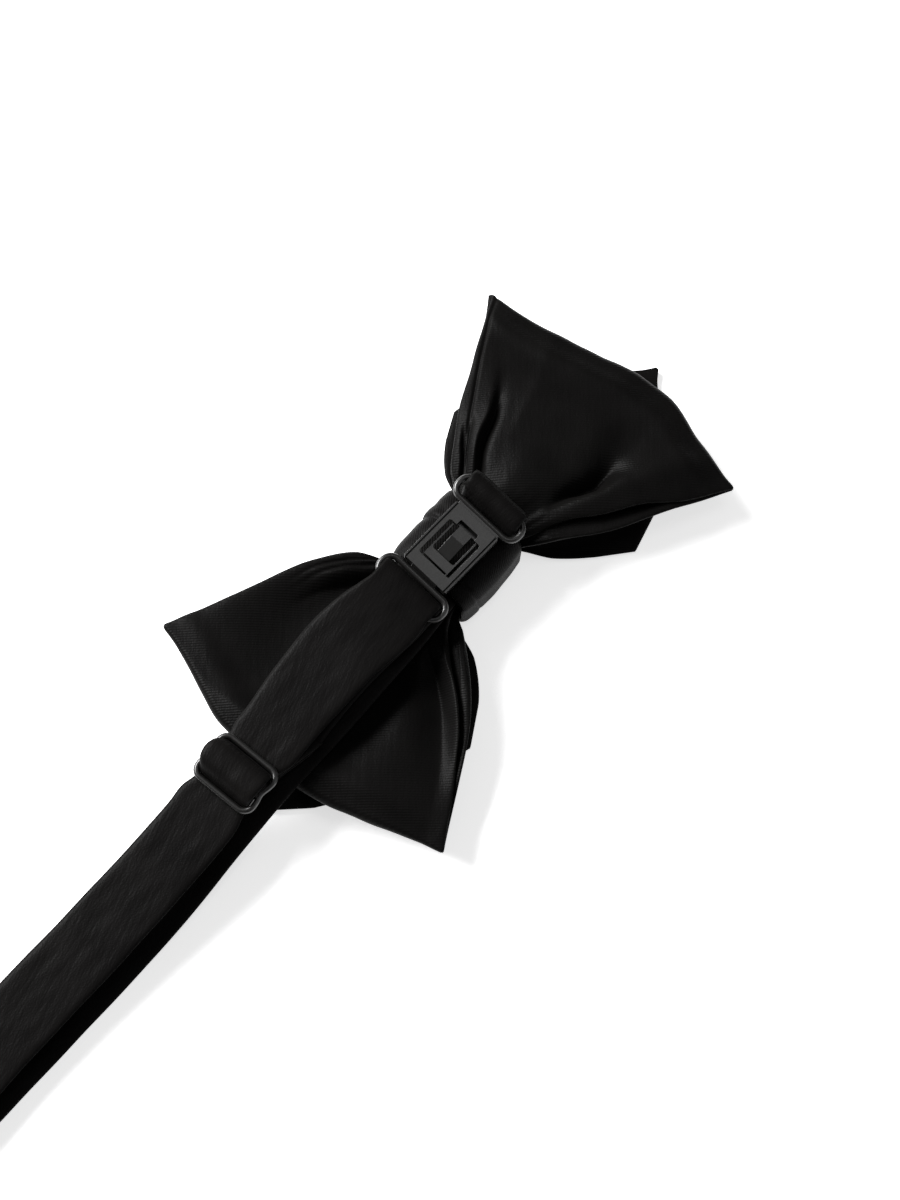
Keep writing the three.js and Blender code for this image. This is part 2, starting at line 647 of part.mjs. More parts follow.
// The slider: a wire frame pinched at its waist, with the middle bar that the strap's end is sewn
// round.
function strapSlider() {
  const { bars, half, waist, corner } = SLIDER;
  const frame = solid(wireRing(0, 0, 0, bars, half, corner, waist));
  const bar = new THREE.CylinderGeometry(WIRE / 2, WIRE / 2, 2 * (half - waist), 8);
  return geometryOf(frame.add(solid(bar)));
}

const satin = new THREE.MeshStandardMaterial({ color: 0x0b0a0a, roughness: 0.55, metalness: 0 });
const strapSatin = new THREE.MeshStandardMaterial({ color: 0x0e0d0d, roughness: 0.6, metalness: 0 });
const blackMetal = new THREE.MeshStandardMaterial({ color: 0x1c1a19, roughness: 0.35, metalness: 0.6 });

const part = new THREE.Group();
const clasp = new THREE.Group();
clasp.position.set(...CLASP.at);
clasp.rotation.set(...CLASP.turned);
part.add(clasp);

function add(name, geometry, material, group = part) {
  const mesh = new THREE.Mesh(geometry, material);
  mesh.name = name;
  group.add(mesh);
  return mesh;
}

add("back_bow", backBow(), satin);
add("front_bow", frontBow(), satin);
add("centre_knot", centreKnot(), satin);
add("neck_strap", neckStrap(), strapSatin);
add("strap_tab", strapTab(), strapSatin);
add("clasp_eye", claspEye(), blackMetal, clasp);
add("clasp_hook", claspHook(), blackMetal, clasp);
const slider = add("strap_slider", strapSlider(), blackMetal);
slider.position.set(SLIDER.x, SLIDER.y, SLIDER.z);
slider.rotation.y = -Math.atan(SLIDER.slope);

export default part;
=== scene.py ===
import math

import bpy
import numpy as np
from bpy.props import FloatProperty, FloatVectorProperty, PointerProperty
from mathutils import Euler, Matrix, Vector


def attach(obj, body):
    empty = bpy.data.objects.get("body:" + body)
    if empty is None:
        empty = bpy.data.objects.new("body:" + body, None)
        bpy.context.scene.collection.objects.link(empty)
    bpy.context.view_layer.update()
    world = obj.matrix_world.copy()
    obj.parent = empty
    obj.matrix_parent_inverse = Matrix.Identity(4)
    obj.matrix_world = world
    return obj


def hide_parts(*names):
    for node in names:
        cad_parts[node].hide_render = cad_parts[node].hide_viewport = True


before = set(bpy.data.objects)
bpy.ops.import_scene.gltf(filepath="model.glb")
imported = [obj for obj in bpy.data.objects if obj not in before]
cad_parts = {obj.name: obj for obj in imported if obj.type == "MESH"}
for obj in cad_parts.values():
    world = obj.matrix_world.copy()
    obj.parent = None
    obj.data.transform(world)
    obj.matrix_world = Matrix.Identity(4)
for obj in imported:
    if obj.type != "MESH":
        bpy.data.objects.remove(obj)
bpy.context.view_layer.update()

bl_info = {
    "name": "Diamond point bow tie",
    "version": (1, 0, 0),
    "blender": (4, 5, 0),
    "location": "View3D > Sidebar > Bow tie",
    "description": "Dresses a pre-tied satin bow tie, lying face down, around its packed frame",
    "category": "Object",
}

MM = 0.001
BODY = "root"

# Thicknesses of the satin and the wire, and the radii of the ribbon's turns round a bar, in millimetres.
CLOTH = 0.9
KNOT_CLOTH = 1.3
STRAP = 0.85
WIRE = 1.4
WRAP = 1.45
AROUND_BAR = WRAP + 0.05
LAP = 1.25


def table(columns, *rows):
    """Rows of numbers as one array for each named column."""
    return dict(zip(columns.split(), np.array(rows, float).T))


# Each wing's stations, in millimetres: x from the knot, the side edges of the loop's upper and lower walls
# in y, and the heights of both walls. Along the wings' lower sides the lower wall shows past the upper one.
WING = "x upper_top upper_bottom lower_top lower_bottom upper lower"
WING_RIGHT = table(
    WING,
    (0, 7.8, -7.8, 8, -8, 8.5, 5.3),
    (9.5, 8.4, -8, 8.4, -8.6, 9.1, 5.5),
    (14, 13.4, -10.2, 13.6, -13.2, 10.5, 5.5),
    (20, 17.4, -13.4, 17.6, -18.4, 12.2, 5.3),
    (26, 21, -18.8, 20.8, -22.8, 12.9, 5.2),
    (33, 24.6, -23.4, 24.4, -26.6, 12.7, 5.2),
    (40, 28.6, -30, 28.4, -30.8, 11.6, 5.9),
    (48, 33, -35.8, 34, -35.8, 10.2, 6.6),
)
WING_LEFT = table(
    WING,
    (0, 7.8, -7.8, 8, -8, 8.5, 5.3),
    (9.5, 8.4, -7.6, 8.4, -8.6, 8.9, 5.5),
    (14, 16.8, -9.4, 16.6, -13.8, 10.3, 5.5),
    (20, 21.5, -15, 21.2, -20.4, 11.5, 5.3),
    (26, 24.9, -22, 24.6, -25.6, 11.8, 5.2),
    (31, 27.5, -26.6, 27.2, -28.9, 11.5, 5.1),
    (40, 32, -33.2, 32, -33.9, 10.4, 5.4),
    (49.6, 37.4, -39.6, 37.4, -39.6, 8.8, 5.6),
)
# How far a wing's end fold reaches past its corners, for each place across it (-1 to 1).
END_RIGHT = table(
    "x out", (-1, 0), (-0.65, 3.6), (-0.29, 7.4), (-0.09, 7.3), (0.19, 5.4), (0.63, 2.9), (1, 2.1)
)
END_LEFT = table(
    "x out", (-1, 0.8), (-0.6, 5.4), (-0.25, 8.8), (0.1, 9.8), (0.37, 9.2), (0.6, 6.4), (0.8, 3.5), (1, 0.9)
)

# Folds of the walls. Each is a line (x, y) with its depth there, and how far its slopes reach towards -y
# and towards +y. Depths below 0 are ridges. A ramp is an even slope in place of minus, and flat is the width
# of a flat bottom that reaches towards -y.
FOLD = "x y depth minus plus"
RAMPED_FOLD = "x y depth ramp plus"
FOLDS_RIGHT = (
    table(
        FOLD,
        (9, 4, 0, 1, 0.2),
        (14, 6.4, 1.2, 1.2, 0.25),
        (17.4, 8.5, 1.8, 1.4, 0.3),
        (20, 10.4, 2, 1.5, 0.3),
        (22.6, 11.7, 2, 1.5, 0.35),
        (27.8, 13.3, 1.7, 1.5, 0.45),
        (31.1, 14.8, 1.1, 1.8, 0.6),
        (34.9, 17, 0.5, 2.6, 1),
        (38.6, 19.3, 0.2, 4, 1.8),
        (43, 22.2, 0, 4, 2.4),
    ),
    table(
        FOLD,
        (12, 6.6, 0, 0.5, 3),
        (17.4, 9.6, -0.8, 0.5, 3.4),
        (20, 11.4, -1.1, 0.5, 3.8),
        (22.6, 12.8, -1.2, 0.5, 4),
        (27.8, 14.5, -1.2, 0.6, 4.4),
        (31.1, 16.2, -0.9, 0.8, 4.6),
        (35, 18.8, -0.4, 1.4, 4.6),
        (40, 22, 0, 2, 4.6),
    ),
    table(
        FOLD,
        (14, 9.2, 0, 0.4, 0.2),
        (18, 12.4, 1.1, 0.5, 0.25),
        (21.5, 14.6, 1, 0.6, 0.3),
        (26, 17, 0, 1, 0.5),
    ),
    table(
        FOLD,
        (11, 8.8, 0, 0.5, 0.2),
        (15.5, 11.4, 1.2, 0.6, 0.25),
        (19.2, 14.5, 1.2, 0.8, 0.3),
        (23, 17, 0, 1, 0.4),
    ),
    table(
        FOLD,
        (11, 9, 0, 0.3, 0.3),
        (16, 12, 0.5, 0.4, 0.3),
        (26.3, 18, 0.45, 0.4, 0.3),
        (38.2, 25.1, 0.4, 0.4, 0.3),
        (49.1, 30.8, 0.35, 0.4, 0.3),
        (53, 32.4, 0.3, 0.4, 0.3),
    ),
    table(
        FOLD,
        (19, -8.8, 0, 0.7, 0.8),
        (23.7, -10, 2, 0.9, 1.3),
        (27.6, -12, 4.2, 1.1, 2),
        (30.5, -13.4, 4.6, 1.2, 2.4),
        (34, -13.4, 3, 1.6, 2.6),
        (39.4, -11.7, 0.6, 5, 2.8),
        (44.4, -10.1, 0.3, 5, 3.4),
        (50, -8, 0, 3, 4),
    ),
    table(
        FOLD,
        (10, -4.6, 0, 1, 2),
        (16, -6.2, 0.7, 1.4, 2.6),
        (24, -10, 1, 2, 4),
        (33, -13, 1, 3, 5),
        (42, -13.4, 0.7, 3, 6),
        (52, -12.6, 0, 4, 7),
    ),
    table(
        FOLD,
        (17, -10, 0, 1.6, 1.6),
        (24, -13.6, -0.4, 2.6, 2.4),
        (32, -17, -1.1, 3.6, 3),
        (44, -23.6, -1, 4.4, 4),
        (54, -28, 0, 4, 4),
    ),
    table(
        FOLD,
        (24, 6.6, 0, 3, 1.4),
        (32, 8.8, -0.3, 3.4, 1.6),
        (39.4, 10.6, -0.35, 4, 2),
        (50, 15, -0.25, 5, 2.4),
        (58, 17, 0, 5, 3),
    ),
    table(
        FOLD,
        (10, 0, 0, 4, 3),
        (17, 1, -0.8, 5, 3.6),
        (26, 1, -0.5, 7, 5),
        (38, 0, 0, 8, 8),
    ),
)
FOLDS_LEFT = (
    table(
        FOLD,
        (10, 9.4, 0, 0.3, 0.3),
        (13, 12.7, 0.5, 0.4, 0.3),
        (17, 17, 0.6, 0.4, 0.35),
        (22, 20.6, 0.35, 0.5, 0.4),
        (29, 23.4, 0, 0.7, 0.6),
    ),
    table(
        FOLD,
        (10, 8, 0, 0.4, 0.3),
        (14, 12, 0.6, 0.5, 0.35),
        (18.5, 16.3, 0.6, 0.5, 0.35),
        (23, 19.4, 0.3, 0.6, 0.5),
        (30, 22, 0, 0.9, 0.8),
    ),
    table(
        FOLD,
        (10, 6, 0, 0.4, 0.3),
        (15, 9.6, 0.7, 0.6, 0.3),
        (20, 13.4, 0.8, 0.8, 0.35),
        (25, 17, 0.4, 1, 0.5),
        (33, 20, 0, 1.4, 1),
    ),
    table(
        FOLD + " flat",
        (9, 4.4, 0, 2, 1, 4),
        (14, 8, 3, 2, 1.4, 9),
        (18, 11.2, 5, 3, 1.6, 14),
        (22, 13, 6, 3, 2.8, 17),
        (27, 14, 6, 4, 6, 20),
        (33, 14.4, 5.6, 5, 9, 22),
        (42, 14.6, 4.8, 6, 10.5, 23),
        (49, 14.6, 3, 6, 10.5, 22),
        (56, 14, 0, 6, 10, 20),
    ),
    table(
        RAMPED_FOLD,
        (10, -4.4, 0, 2, 1.6),
        (15, -6.2, 1.6, 2.6, 4),
        (20, -9.4, 3.2, 3.6, 7),
        (23, -13.6, 4, 3.8, 10),
        (28.5, -19.6, 4.4, 3.9, 13),
        (33, -23.4, 3.9, 4.3, 14),
        (39, -27.8, 2.7, 5, 14),
        (45, -31.4, 1.3, 6, 13),
        (52, -35, 0.4, 6.4, 12),
        (58, -39, 0, 4, 10),
    ),
    table(
        FOLD,
        (18, -6, 0, 4, 3),
        (26, -8, -0.6, 9, 3),
        (36, -9, -1.2, 13, 4),
        (46, -9, -1, 14, 5),
        (56, -9, 0, 14, 6),
    ),
)
FOLDS_LOWER = (
    table(
        FOLD,
        (9, 8, 0, 0.3, 0.3),
        (16, 13, 0.5, 0.5, 0.3),
        (24, 18, 0.4, 0.5, 0.3),
        (33, 22.6, 0, 0.6, 0.4),
    ),
    table(
        FOLD,
        (9, -8, 0, 0.3, 0.5),
        (16, -14.6, 0.6, 0.4, 0.6),
        (24, -22.4, 0.4, 0.5, 0.6),
        (32, -27, 0, 0.6, 0.7),
    ),
)

# The front leaf's stations out to its diamond points, in millimetres.
LEAF = "x top bottom z"
LEAF_RIGHT = table(
    LEAF,
    (0, 7.3, -7.3, 2.5),
    (9.5, 7.1, -7.1, 2.5),
    (14.5, 15.6, -15, 1.9),
    (21, 20.8, -21.8, 1.2),
    (27.5, 23.9, -27.3, 0.75),
    (37, 22, -25, 0.6),
    (47, 14, -18.8, 0.6),
    (57, 3.6, -10.4, 0.8),
    (62, -1.8, -5.8, 1.1),
    (64.2, -3.6, -4.4, 1.2),
)
LEAF_LEFT = table(
    LEAF,
    (0, 7.3, -7.3, 2.5),
    (9.5, 7.1, -7.1, 2.5),
    (14, 15.8, -16.6, 1.9),
    (21, 22.3, -23.6, 1.2),
    (29.5, 26.2, -28.4, 0.75),
    (40, 22.6, -24.8, 0.6),
    (51, 14.5, -18.6, 0.6),
    (60.6, 6.6, -11.6, 0.6),
    (66.2, 1.2, -5.6, 0.6),
    (68.6, -1.2, -2, 0.6),
)

KNOT = {"half_width": 9.5, "half_height": 10.9, "thick": 15.2, "corner": 5, "crown": 0.7, "pressed": 0.6}

# The clasp's own frame has its origin under the box's middle, with x along it and y across.
CLASP_AT = Vector((-2.45, -0.2, 16.4))
CLASP_TURNED = Euler((0.15, -0.07, -0.062))
CLASP_PLACE = Matrix.LocRotScale(CLASP_AT * MM, CLASP_TURNED, None)
BOX = {"half_length": 8.1, "half": 6, "height": 2.5, "sheet": 0.6, "floor": 0.5}
RING = {"half": 8.55, "corner": 2.3, "z": 1.3, "near": 9.3, "far": 14.4}
SEAM = {"inside": 0.55, "half": 0.17, "sunk": 0.02}
WINDOW = {"x0": -5.3, "x1": 4.3, "half": 4.35, "notch": 5.7, "notch_half": 2.5, "from": 1.5}
# The opening in the box's floor, across it.
OPENING = {"low": -3.95, "high": 4.9}
TONGUE = {"x0": -9.6, "x1": 7, "half": 3.45, "z": 1.2, "sheet": 0.5, "sunk": 0.65, "crease_half": 3.2}
TONGUE_BEND = (-8.5, -7.9)
CATCH = {"root": -2.5, "top": 1.9, "tip": 4.7, "half": 1.7, "rise": 0.95, "drop": 0.55}
CATCH_SLOT = {"half": 3.0, "end": 6.0}
SLIDER = {"x": -67.9, "y": 2.25, "z": 15, "bars": 5.3, "half": 7.3, "waist": 0.5, "corner": 2.2}
SLIDER_SLOPE = 0.1
SLIDER_PLACE = Matrix.LocRotScale(
    Vector((SLIDER["x"], SLIDER["y"], SLIDER["z"])) * MM, Euler((0, -math.atan(SLIDER_SLOPE), 0)), None
)
TAB_HALF = 7.1
RING_HALF = 7.6
# The satin's slack turns round the rings' far bars, as (towards the clasp, up) from each bar's middle.
STRAP_NOSE = (
    (-1.6, 1.5), (0, 1.55), (1.8, 1.5), (3.1, 1.1), (3.75, 0.2),
    (3.3, -0.8), (1.9, -1.4), (0, -1.5), (-1.6, -1.5),
)
TAB_NOSE = (
    (-1.3, -1.5), (-1.65, -0.5), (-1.6, 0.5), (-1, 1.25), (0.2, 1.65),
    (1.5, 1.45), (2.4, 0.6), (3.1, -0.8), (3.5, -2.4),
)
# The seeds of each kind of ripple.
SEEDS = {"gathers": 5, "wrinkles": 9, "lower_wall": 15, "leaf": 31, "knot": 41, "strap": 61, "tab": 71}


def smooth(a, b, t):
    """0 before a and 1 after b, with a soft rise between them."""
    k = np.clip((t - a) / (b - a), 0, 1)
    return k * k * (3 - 2 * k)


def mix(a, b, t):
    return a + (b - a) * t


def along(rows, column, x):
    """The value of one column at x, through the rows of a table, without overshoot (a monotone cubic)."""
    xs, ys = rows["x"], rows[column]
    x = np.clip(x, xs[0], xs[-1])
    step = np.diff(xs)
    slope = np.diff(ys) / step
    before, after = slope[:-1], slope[1:]
    same_way = before * after > 0
    middle = np.where(same_way, 2 * before * after / np.where(same_way, before + after, 1), 0)
    tangent = np.concatenate(([slope[0]], middle, [slope[-1]]))
    i = np.clip(np.searchsorted(xs, x, side="right") - 1, 0, len(xs) - 2)
    s = (x - xs[i]) / step[i]
    rest = 1 - s
    value = ys[i] * rest**2 * (1 + 2 * s) + ys[i + 1] * s**2 * (3 - 2 * s)
    return value + step[i] * (tangent[i] * s * rest**2 - tangent[i + 1] * s**2 * rest)


def unit(vectors):
    return vectors / np.maximum(np.linalg.norm(vectors, axis=-1, keepdims=True), 1e-9)


def ripple(a, b, seed, waves=7, low=0.5, high=2.2):
    """A soft, seeded sum of waves over two coordinates, between about -1 and 1."""
    random = np.random.default_rng(seed)
    total = np.zeros(np.broadcast(a, b).shape)
    for _ in range(waves):
        turn, pace = random.uniform(0, np.pi), random.uniform(low, high)
        phase = random.uniform(0, 2 * np.pi)
        total += np.sin(pace * (a * np.cos(turn) + b * np.sin(turn)) + phase)
    return total / waves**0.5


def fold_depth(folds, x, y):
    """How far a set of folds draws the cloth in at x along a wing and y across it."""
    drawn = np.zeros_like(x)
    for line in folds:
        off = y - along(line, "y", x)
        if "flat" in line:
            off = np.where(off < 0, np.minimum(off + along(line, "flat", x), 0), off)
        ramped = "ramp" in line
        before = along(line, "ramp" if ramped else "minus", x)
        after = along(line, "plus", x)
        widest_round = 0.4 if ramped else 2.5
        round_off = np.clip(0.5 * np.minimum(before, after), 0.1, widest_round)
        away = (np.sqrt(off**2 + round_off**2) - round_off) / np.where(off < 0, before, after)
        share = np.exp(-away * (1 + 0.5 * away))
        if ramped:
            share = np.where(off < 0, np.clip(1 - away, 0, 1), share)
        inside = (x > line["x"][0]) & (x < line["x"][-1])
        drawn += inside * along(line, "depth", x) * share
    return drawn


def lowest_near(heights, reach):
    """The lowest value within some columns of each place, smoothed."""
    padded = np.pad(heights, ((0, 0), (reach, reach)), mode="edge")
    count = heights.shape[1]
    low = np.min([padded[:, k : k + count] for k in range(2 * reach + 1)], axis=0)
    padded = np.pad(low, ((0, 0), (reach, reach)), mode="edge")
    return np.minimum(low, np.mean([padded[:, k : k + count] for k in range(2 * reach + 1)], axis=0))


def grid_faces(rows, columns, closed, start=0):
    """Quads over a grid of points, as rows of four indices. A closed grid's last row meets its first."""
    last_row = rows if closed else rows - 1
    i, k = np.meshgrid(np.arange(last_row), np.arange(columns - 1), indexing="ij")
    i, k = i.ravel(), k.ravel()
    j, m = (i + 1) % rows, k + 1
    return start + np.stack([i * columns + k, j * columns + k, j * columns + m, i * columns + m], axis=1)


def cloth_piece(name, outer, inner, closed, along_cloth, across_cloth, material):
    """A closed wall of cloth from the grids of its two faces, with a UV map in metres along and across."""
    rows, columns = outer.shape[:2]
    count = rows * columns
    points = np.concatenate([outer.reshape(-1, 3), inner.reshape(-1, 3)]) * MM
    faces = [grid_faces(rows, columns, closed), grid_faces(rows, columns, closed, start=count)[:, ::-1]]
    steps = np.arange(rows if closed else rows - 1)
    here, there = steps * columns, (steps + 1) % rows * columns
    last = columns - 1
    faces.append(np.stack([here + count, there + count, there, here], axis=1))
    faces.append(np.stack([here + last, there + last, there + last + count, here + last + count], axis=1))
    if not closed:
        k = np.arange(last)
        tail = (rows - 1) * columns
        faces.append(np.stack([k, k + 1, k + 1 + count, k + count], axis=1))
        faces.append(np.stack([tail + k + count, tail + k + 1 + count, tail + k + 1, tail + k], axis=1))
    faces = np.concatenate(faces)
    mesh = bpy.data.meshes.new(name)
    mesh.from_pydata(points.tolist(), [], faces.tolist())
    if closed_volume(points, faces) < 0:
        mesh.flip_normals()
    places = np.stack([along_cloth, across_cloth], axis=-1).reshape(-1, 2) * MM
    places = np.concatenate([places, places])
    uv = mesh.uv_layers.new(name="Cloth")
    corner = np.zeros(len(mesh.loops), int)
    mesh.loops.foreach_get("vertex_index", corner)
    uv.data.foreach_set("uv", places[corner].ravel())
    mesh.polygons.foreach_set("use_smooth", np.ones(len(mesh.polygons), bool))
    mesh.update()
    piece = bpy.data.objects.new(name, mesh)
    bpy.context.scene.collection.objects.link(piece)
    piece.data.materials.append(material)
    return piece


def closed_volume(points, faces):
    """The signed volume inside quads that close round a solid."""
    a, b, c, d = (points[faces[:, k]] for k in range(4))
    return np.sum(a * np.cross(b, c)) + np.sum(a * np.cross(c, d))


def settle(piece, slot, *nodes):
    """Fixes a finished piece to the part, in place of the nodes that it stands for."""
    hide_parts(*nodes)
    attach(piece, BODY)


# Materials

def new_material(name):
    material = bpy.data.materials.new(name)
    material.use_nodes = True
    tree = material.node_tree
    return material, tree, tree.nodes["Principled BSDF"]


def set_inputs(node, **inputs):
    """Sets a node's inputs by name: sheen_weight stands for the socket Sheen Weight."""
    for name, value in inputs.items():
        words = [word[0].upper() + word[1:] for word in name.split("_")]
        node.inputs[" ".join(words)].default_value = value


def placed(tree, source, size, turn=0.0):
    """Coordinates turned in the plane, then measured in steps of one size along each axis."""
    mapping = tree.nodes.new("ShaderNodeMapping")
    mapping.vector_type = "TEXTURE"
    set_inputs(mapping, scale=size, rotation=(0, 0, turn))
    tree.links.new(source, mapping.inputs["Vector"])
    return mapping.outputs["Vector"]


def pattern(tree, kind, source, **inputs):
    """A texture node's pattern over coordinates, with the named inputs set."""
    texture = tree.nodes.new(kind)
    set_inputs(texture, **inputs)
    tree.links.new(source, texture.inputs["Vector"])
    return texture.outputs["Fac"]


def noise(tree, source, size, turn=0.0, detail=2.0, roughness=0.5):
    """A noise whose grain has the given size along each axis, in metres."""
    place = placed(tree, source, size, turn)
    return pattern(tree, "ShaderNodeTexNoise", place, scale=1, detail=detail, roughness=roughness)


def times_plus(tree, value, factor, offset):
    """A pattern's value times a factor, plus an offset."""
    node = tree.nodes.new("ShaderNodeMath")
    node.operation = "MULTIPLY_ADD"
    node.inputs[1].default_value = factor
    node.inputs[2].default_value = offset
    tree.links.new(value, node.inputs[0])
    return node.outputs[0]


def shade_between(tree, factor, dark, light):
    """A colour that follows a pattern, from a dark shade to a light one."""
    ramp = tree.nodes.new("ShaderNodeValToRGB")
    ramp.color_ramp.elements[0].position = 0.3
    ramp.color_ramp.elements[0].color = (*dark, 1)
    ramp.color_ramp.elements[1].position = 0.7
    ramp.color_ramp.elements[1].color = (*light, 1)
    tree.links.new(factor, ramp.inputs["Fac"])
    return ramp.outputs["Color"]


def bumped(tree, height, distance, normal=None):
    """The surface's direction over a pattern whose relief is one distance high, in metres."""
    bump = tree.nodes.new("ShaderNodeBump")
    set_inputs(bump, strength=1, distance=distance)
    tree.links.new(height, bump.inputs["Height"])
    if normal is not None:
        tree.links.new(normal, bump.inputs["Normal"])
    return bump.outputs["Normal"]


TWILL_TURN = math.radians(40)
STRAP_GRAIN_TURN = math.radians(16)
ONE_WAVE_A_STEP = 0.314


def satin_material(name, settings, colour, twill_height, crinkle_size, crinkle_turn, crinkle_height):
    """Black satin: a fine twill, a faint crinkle along the cloth and a soft sheen."""
    material, tree, shader = new_material(name)
    uv = tree.nodes.new("ShaderNodeUVMap")
    uv.uv_map = "Cloth"
    cloth = uv.outputs["UV"]
    lines = placed(tree, cloth, (settings.twill, settings.twill, 1), TWILL_TURN)
    wave = {"scale": ONE_WAVE_A_STEP, "distortion": 0.4, "detail_scale": 2}
    twill = pattern(tree, "ShaderNodeTexWave", lines, **wave)
    crinkle = noise(tree, cloth, crinkle_size, crinkle_turn, 3, 0.55)
    weave = noise(tree, cloth, (0.0004, 0.0004, 1))
    mottle = noise(tree, cloth, (0.011, 0.011, 1), detail=3)
    dark = tuple(0.78 * c for c in colour)
    light = tuple(1.25 * c for c in colour)
    tree.links.new(shade_between(tree, mottle, dark, light), shader.inputs["Base Color"])
    normal = bumped(tree, crinkle, crinkle_height)
    normal = bumped(tree, twill, twill_height, normal=normal)
    normal = bumped(tree, weave, 0.00005, normal=normal)
    tree.links.new(normal, shader.inputs["Normal"])
    rough = times_plus(tree, weave, 0.2, settings.roughness - 0.1)
    tree.links.new(rough, shader.inputs["Roughness"])
    set_inputs(shader, specular_IOR_level=0.035, sheen_weight=settings.sheen)
    set_inputs(shader, sheen_roughness=0.4, sheen_tint=(0.9, 0.88, 0.88, 1))
    return material


def metal_material(name, settings):
    """Black enamel on metal: semi-gloss, with faint brush marks and worn, lighter specks."""
    material, tree, shader = new_material(name)
    colour = tuple(settings.colour)
    place = tree.nodes.new("ShaderNodeTexCoord").outputs["Object"]
    wear = noise(tree, place, (0.0014, 0.0014, 0.0014), detail=4, roughness=0.6)
    grain = noise(tree, place, (0.002, 0.0002, 0.0002), 0.06)
    light = tuple(min(1, 1.2 * c) for c in colour)
    tree.links.new(shade_between(tree, wear, colour, light), shader.inputs["Base Color"])
    rough = times_plus(tree, grain, 0.1, settings.roughness - 0.05)
    tree.links.new(rough, shader.inputs["Roughness"])
    tree.links.new(bumped(tree, grain, 0.000012), shader.inputs["Normal"])
    set_inputs(shader, specular_IOR_level=0.5, coat_weight=0.15, coat_roughness=0.25)
    return material


def satin():
    tie = bpy.context.scene.bow_tie_satin
    return bpy.data.materials.get("bow_satin") or satin_material(
        "bow_satin", tie, tuple(tie.colour), tie.twill_height, (0.007, 0.0013, 1), TWILL_TURN, 0.00008
    )


def strap_satin():
    tie = bpy.context.scene.bow_tie_satin
    return bpy.data.materials.get("strap_ribbon") or satin_material(
        "strap_ribbon", tie, tuple(tie.strap_colour), 0.0, (0.0042, 0.0009, 1), STRAP_GRAIN_TURN, 0.0001
    )


def black_metal():
    fittings = bpy.context.scene.bow_tie_fittings
    return bpy.data.materials.get("black_enamel") or metal_material("black_enamel", fittings)


# The bows

# How many points the cloth's grids have along a wing and across each piece.
UPPER_STATIONS = 88
LOWER_STATIONS = 28
END_STATIONS = 11
ACROSS_BOW = 151
ACROSS_LEAF = 61
ACROSS_KNOT = 71
ACROSS_STRAP = 25
WALL_SPACING = 1.1
# How many waves the gathers by the knot are made of, and the slowest and the fastest of their paces.
GATHER_WAVES = (6, 0.6, 1.4)
HEM = {"height": 0.45, "inside": 3.6, "width": 2}


def wing_wall(rows, end, side, name, x, v):
    """Points of one wall of a wing's loop, before its folds, at x along it and v across it (-1 to 1)."""
    last = rows["x"][-1]
    y = mix(along(rows, name + "_bottom", x), along(rows, name + "_top", x), (v + 1) / 2)
    reach = x + along(end, "out", v) * smooth(20, last, x)
    z = along(rows, name, x)
    # The walls bulge apart. The upper one's side edges roll down, and the lower one's rise to meet them.
    start = np.minimum(1, x / 20)
    if name == "upper":
        edge = np.where(v < 0, 0.25, 0.3) * smooth(9, 18, x) * (1 - smooth(40, last, x))
        z = z - start * 1.2 * v**2 - edge * np.abs(v) ** 40
    else:
        rise = np.where(v < 0, 3.7, 0.8) * smooth(9, 16, x) * (1 - smooth(36, last, x))
        from_here, width = 0.6 + 0.018 * np.clip(x - 23, -10, 10), 0.17
        if side < 0:
            from_here, width = along(rows, "upper_bottom", x) / along(rows, "lower_bottom", x) - 0.12, 0.24
        z = z + start * 0.6 * v**2 + rise * smooth(from_here, from_here + width, np.abs(v))
    pinch = np.abs(v) ** 10 * smooth(last - 12, last, x)
    middle = (rows["upper"][-1] + rows["lower"][-1]) / 2
    z = mix(z, middle + (0.45 if name == "upper" else -0.45), pinch)
    reach += pinch * (rows["upper"][-1] - rows["lower"][-1] - 1) / 2
    return np.stack([side * reach, y, z], axis=-1)


def room_below(rows, end, side, x, upper):
    """How far the upper wall can be drawn in before it reaches the lower wall."""
    low, top = along(rows, "lower_bottom", x), along(rows, "lower_top", x)
    v = np.clip(2 * (upper[..., 1] - low) / (top - low) - 1, -1, 1)
    lower = wing_wall(rows, end, side, "lower", x, v)
    return np.maximum(upper[..., 2] - lower[..., 2] - WALL_SPACING, 0.2)


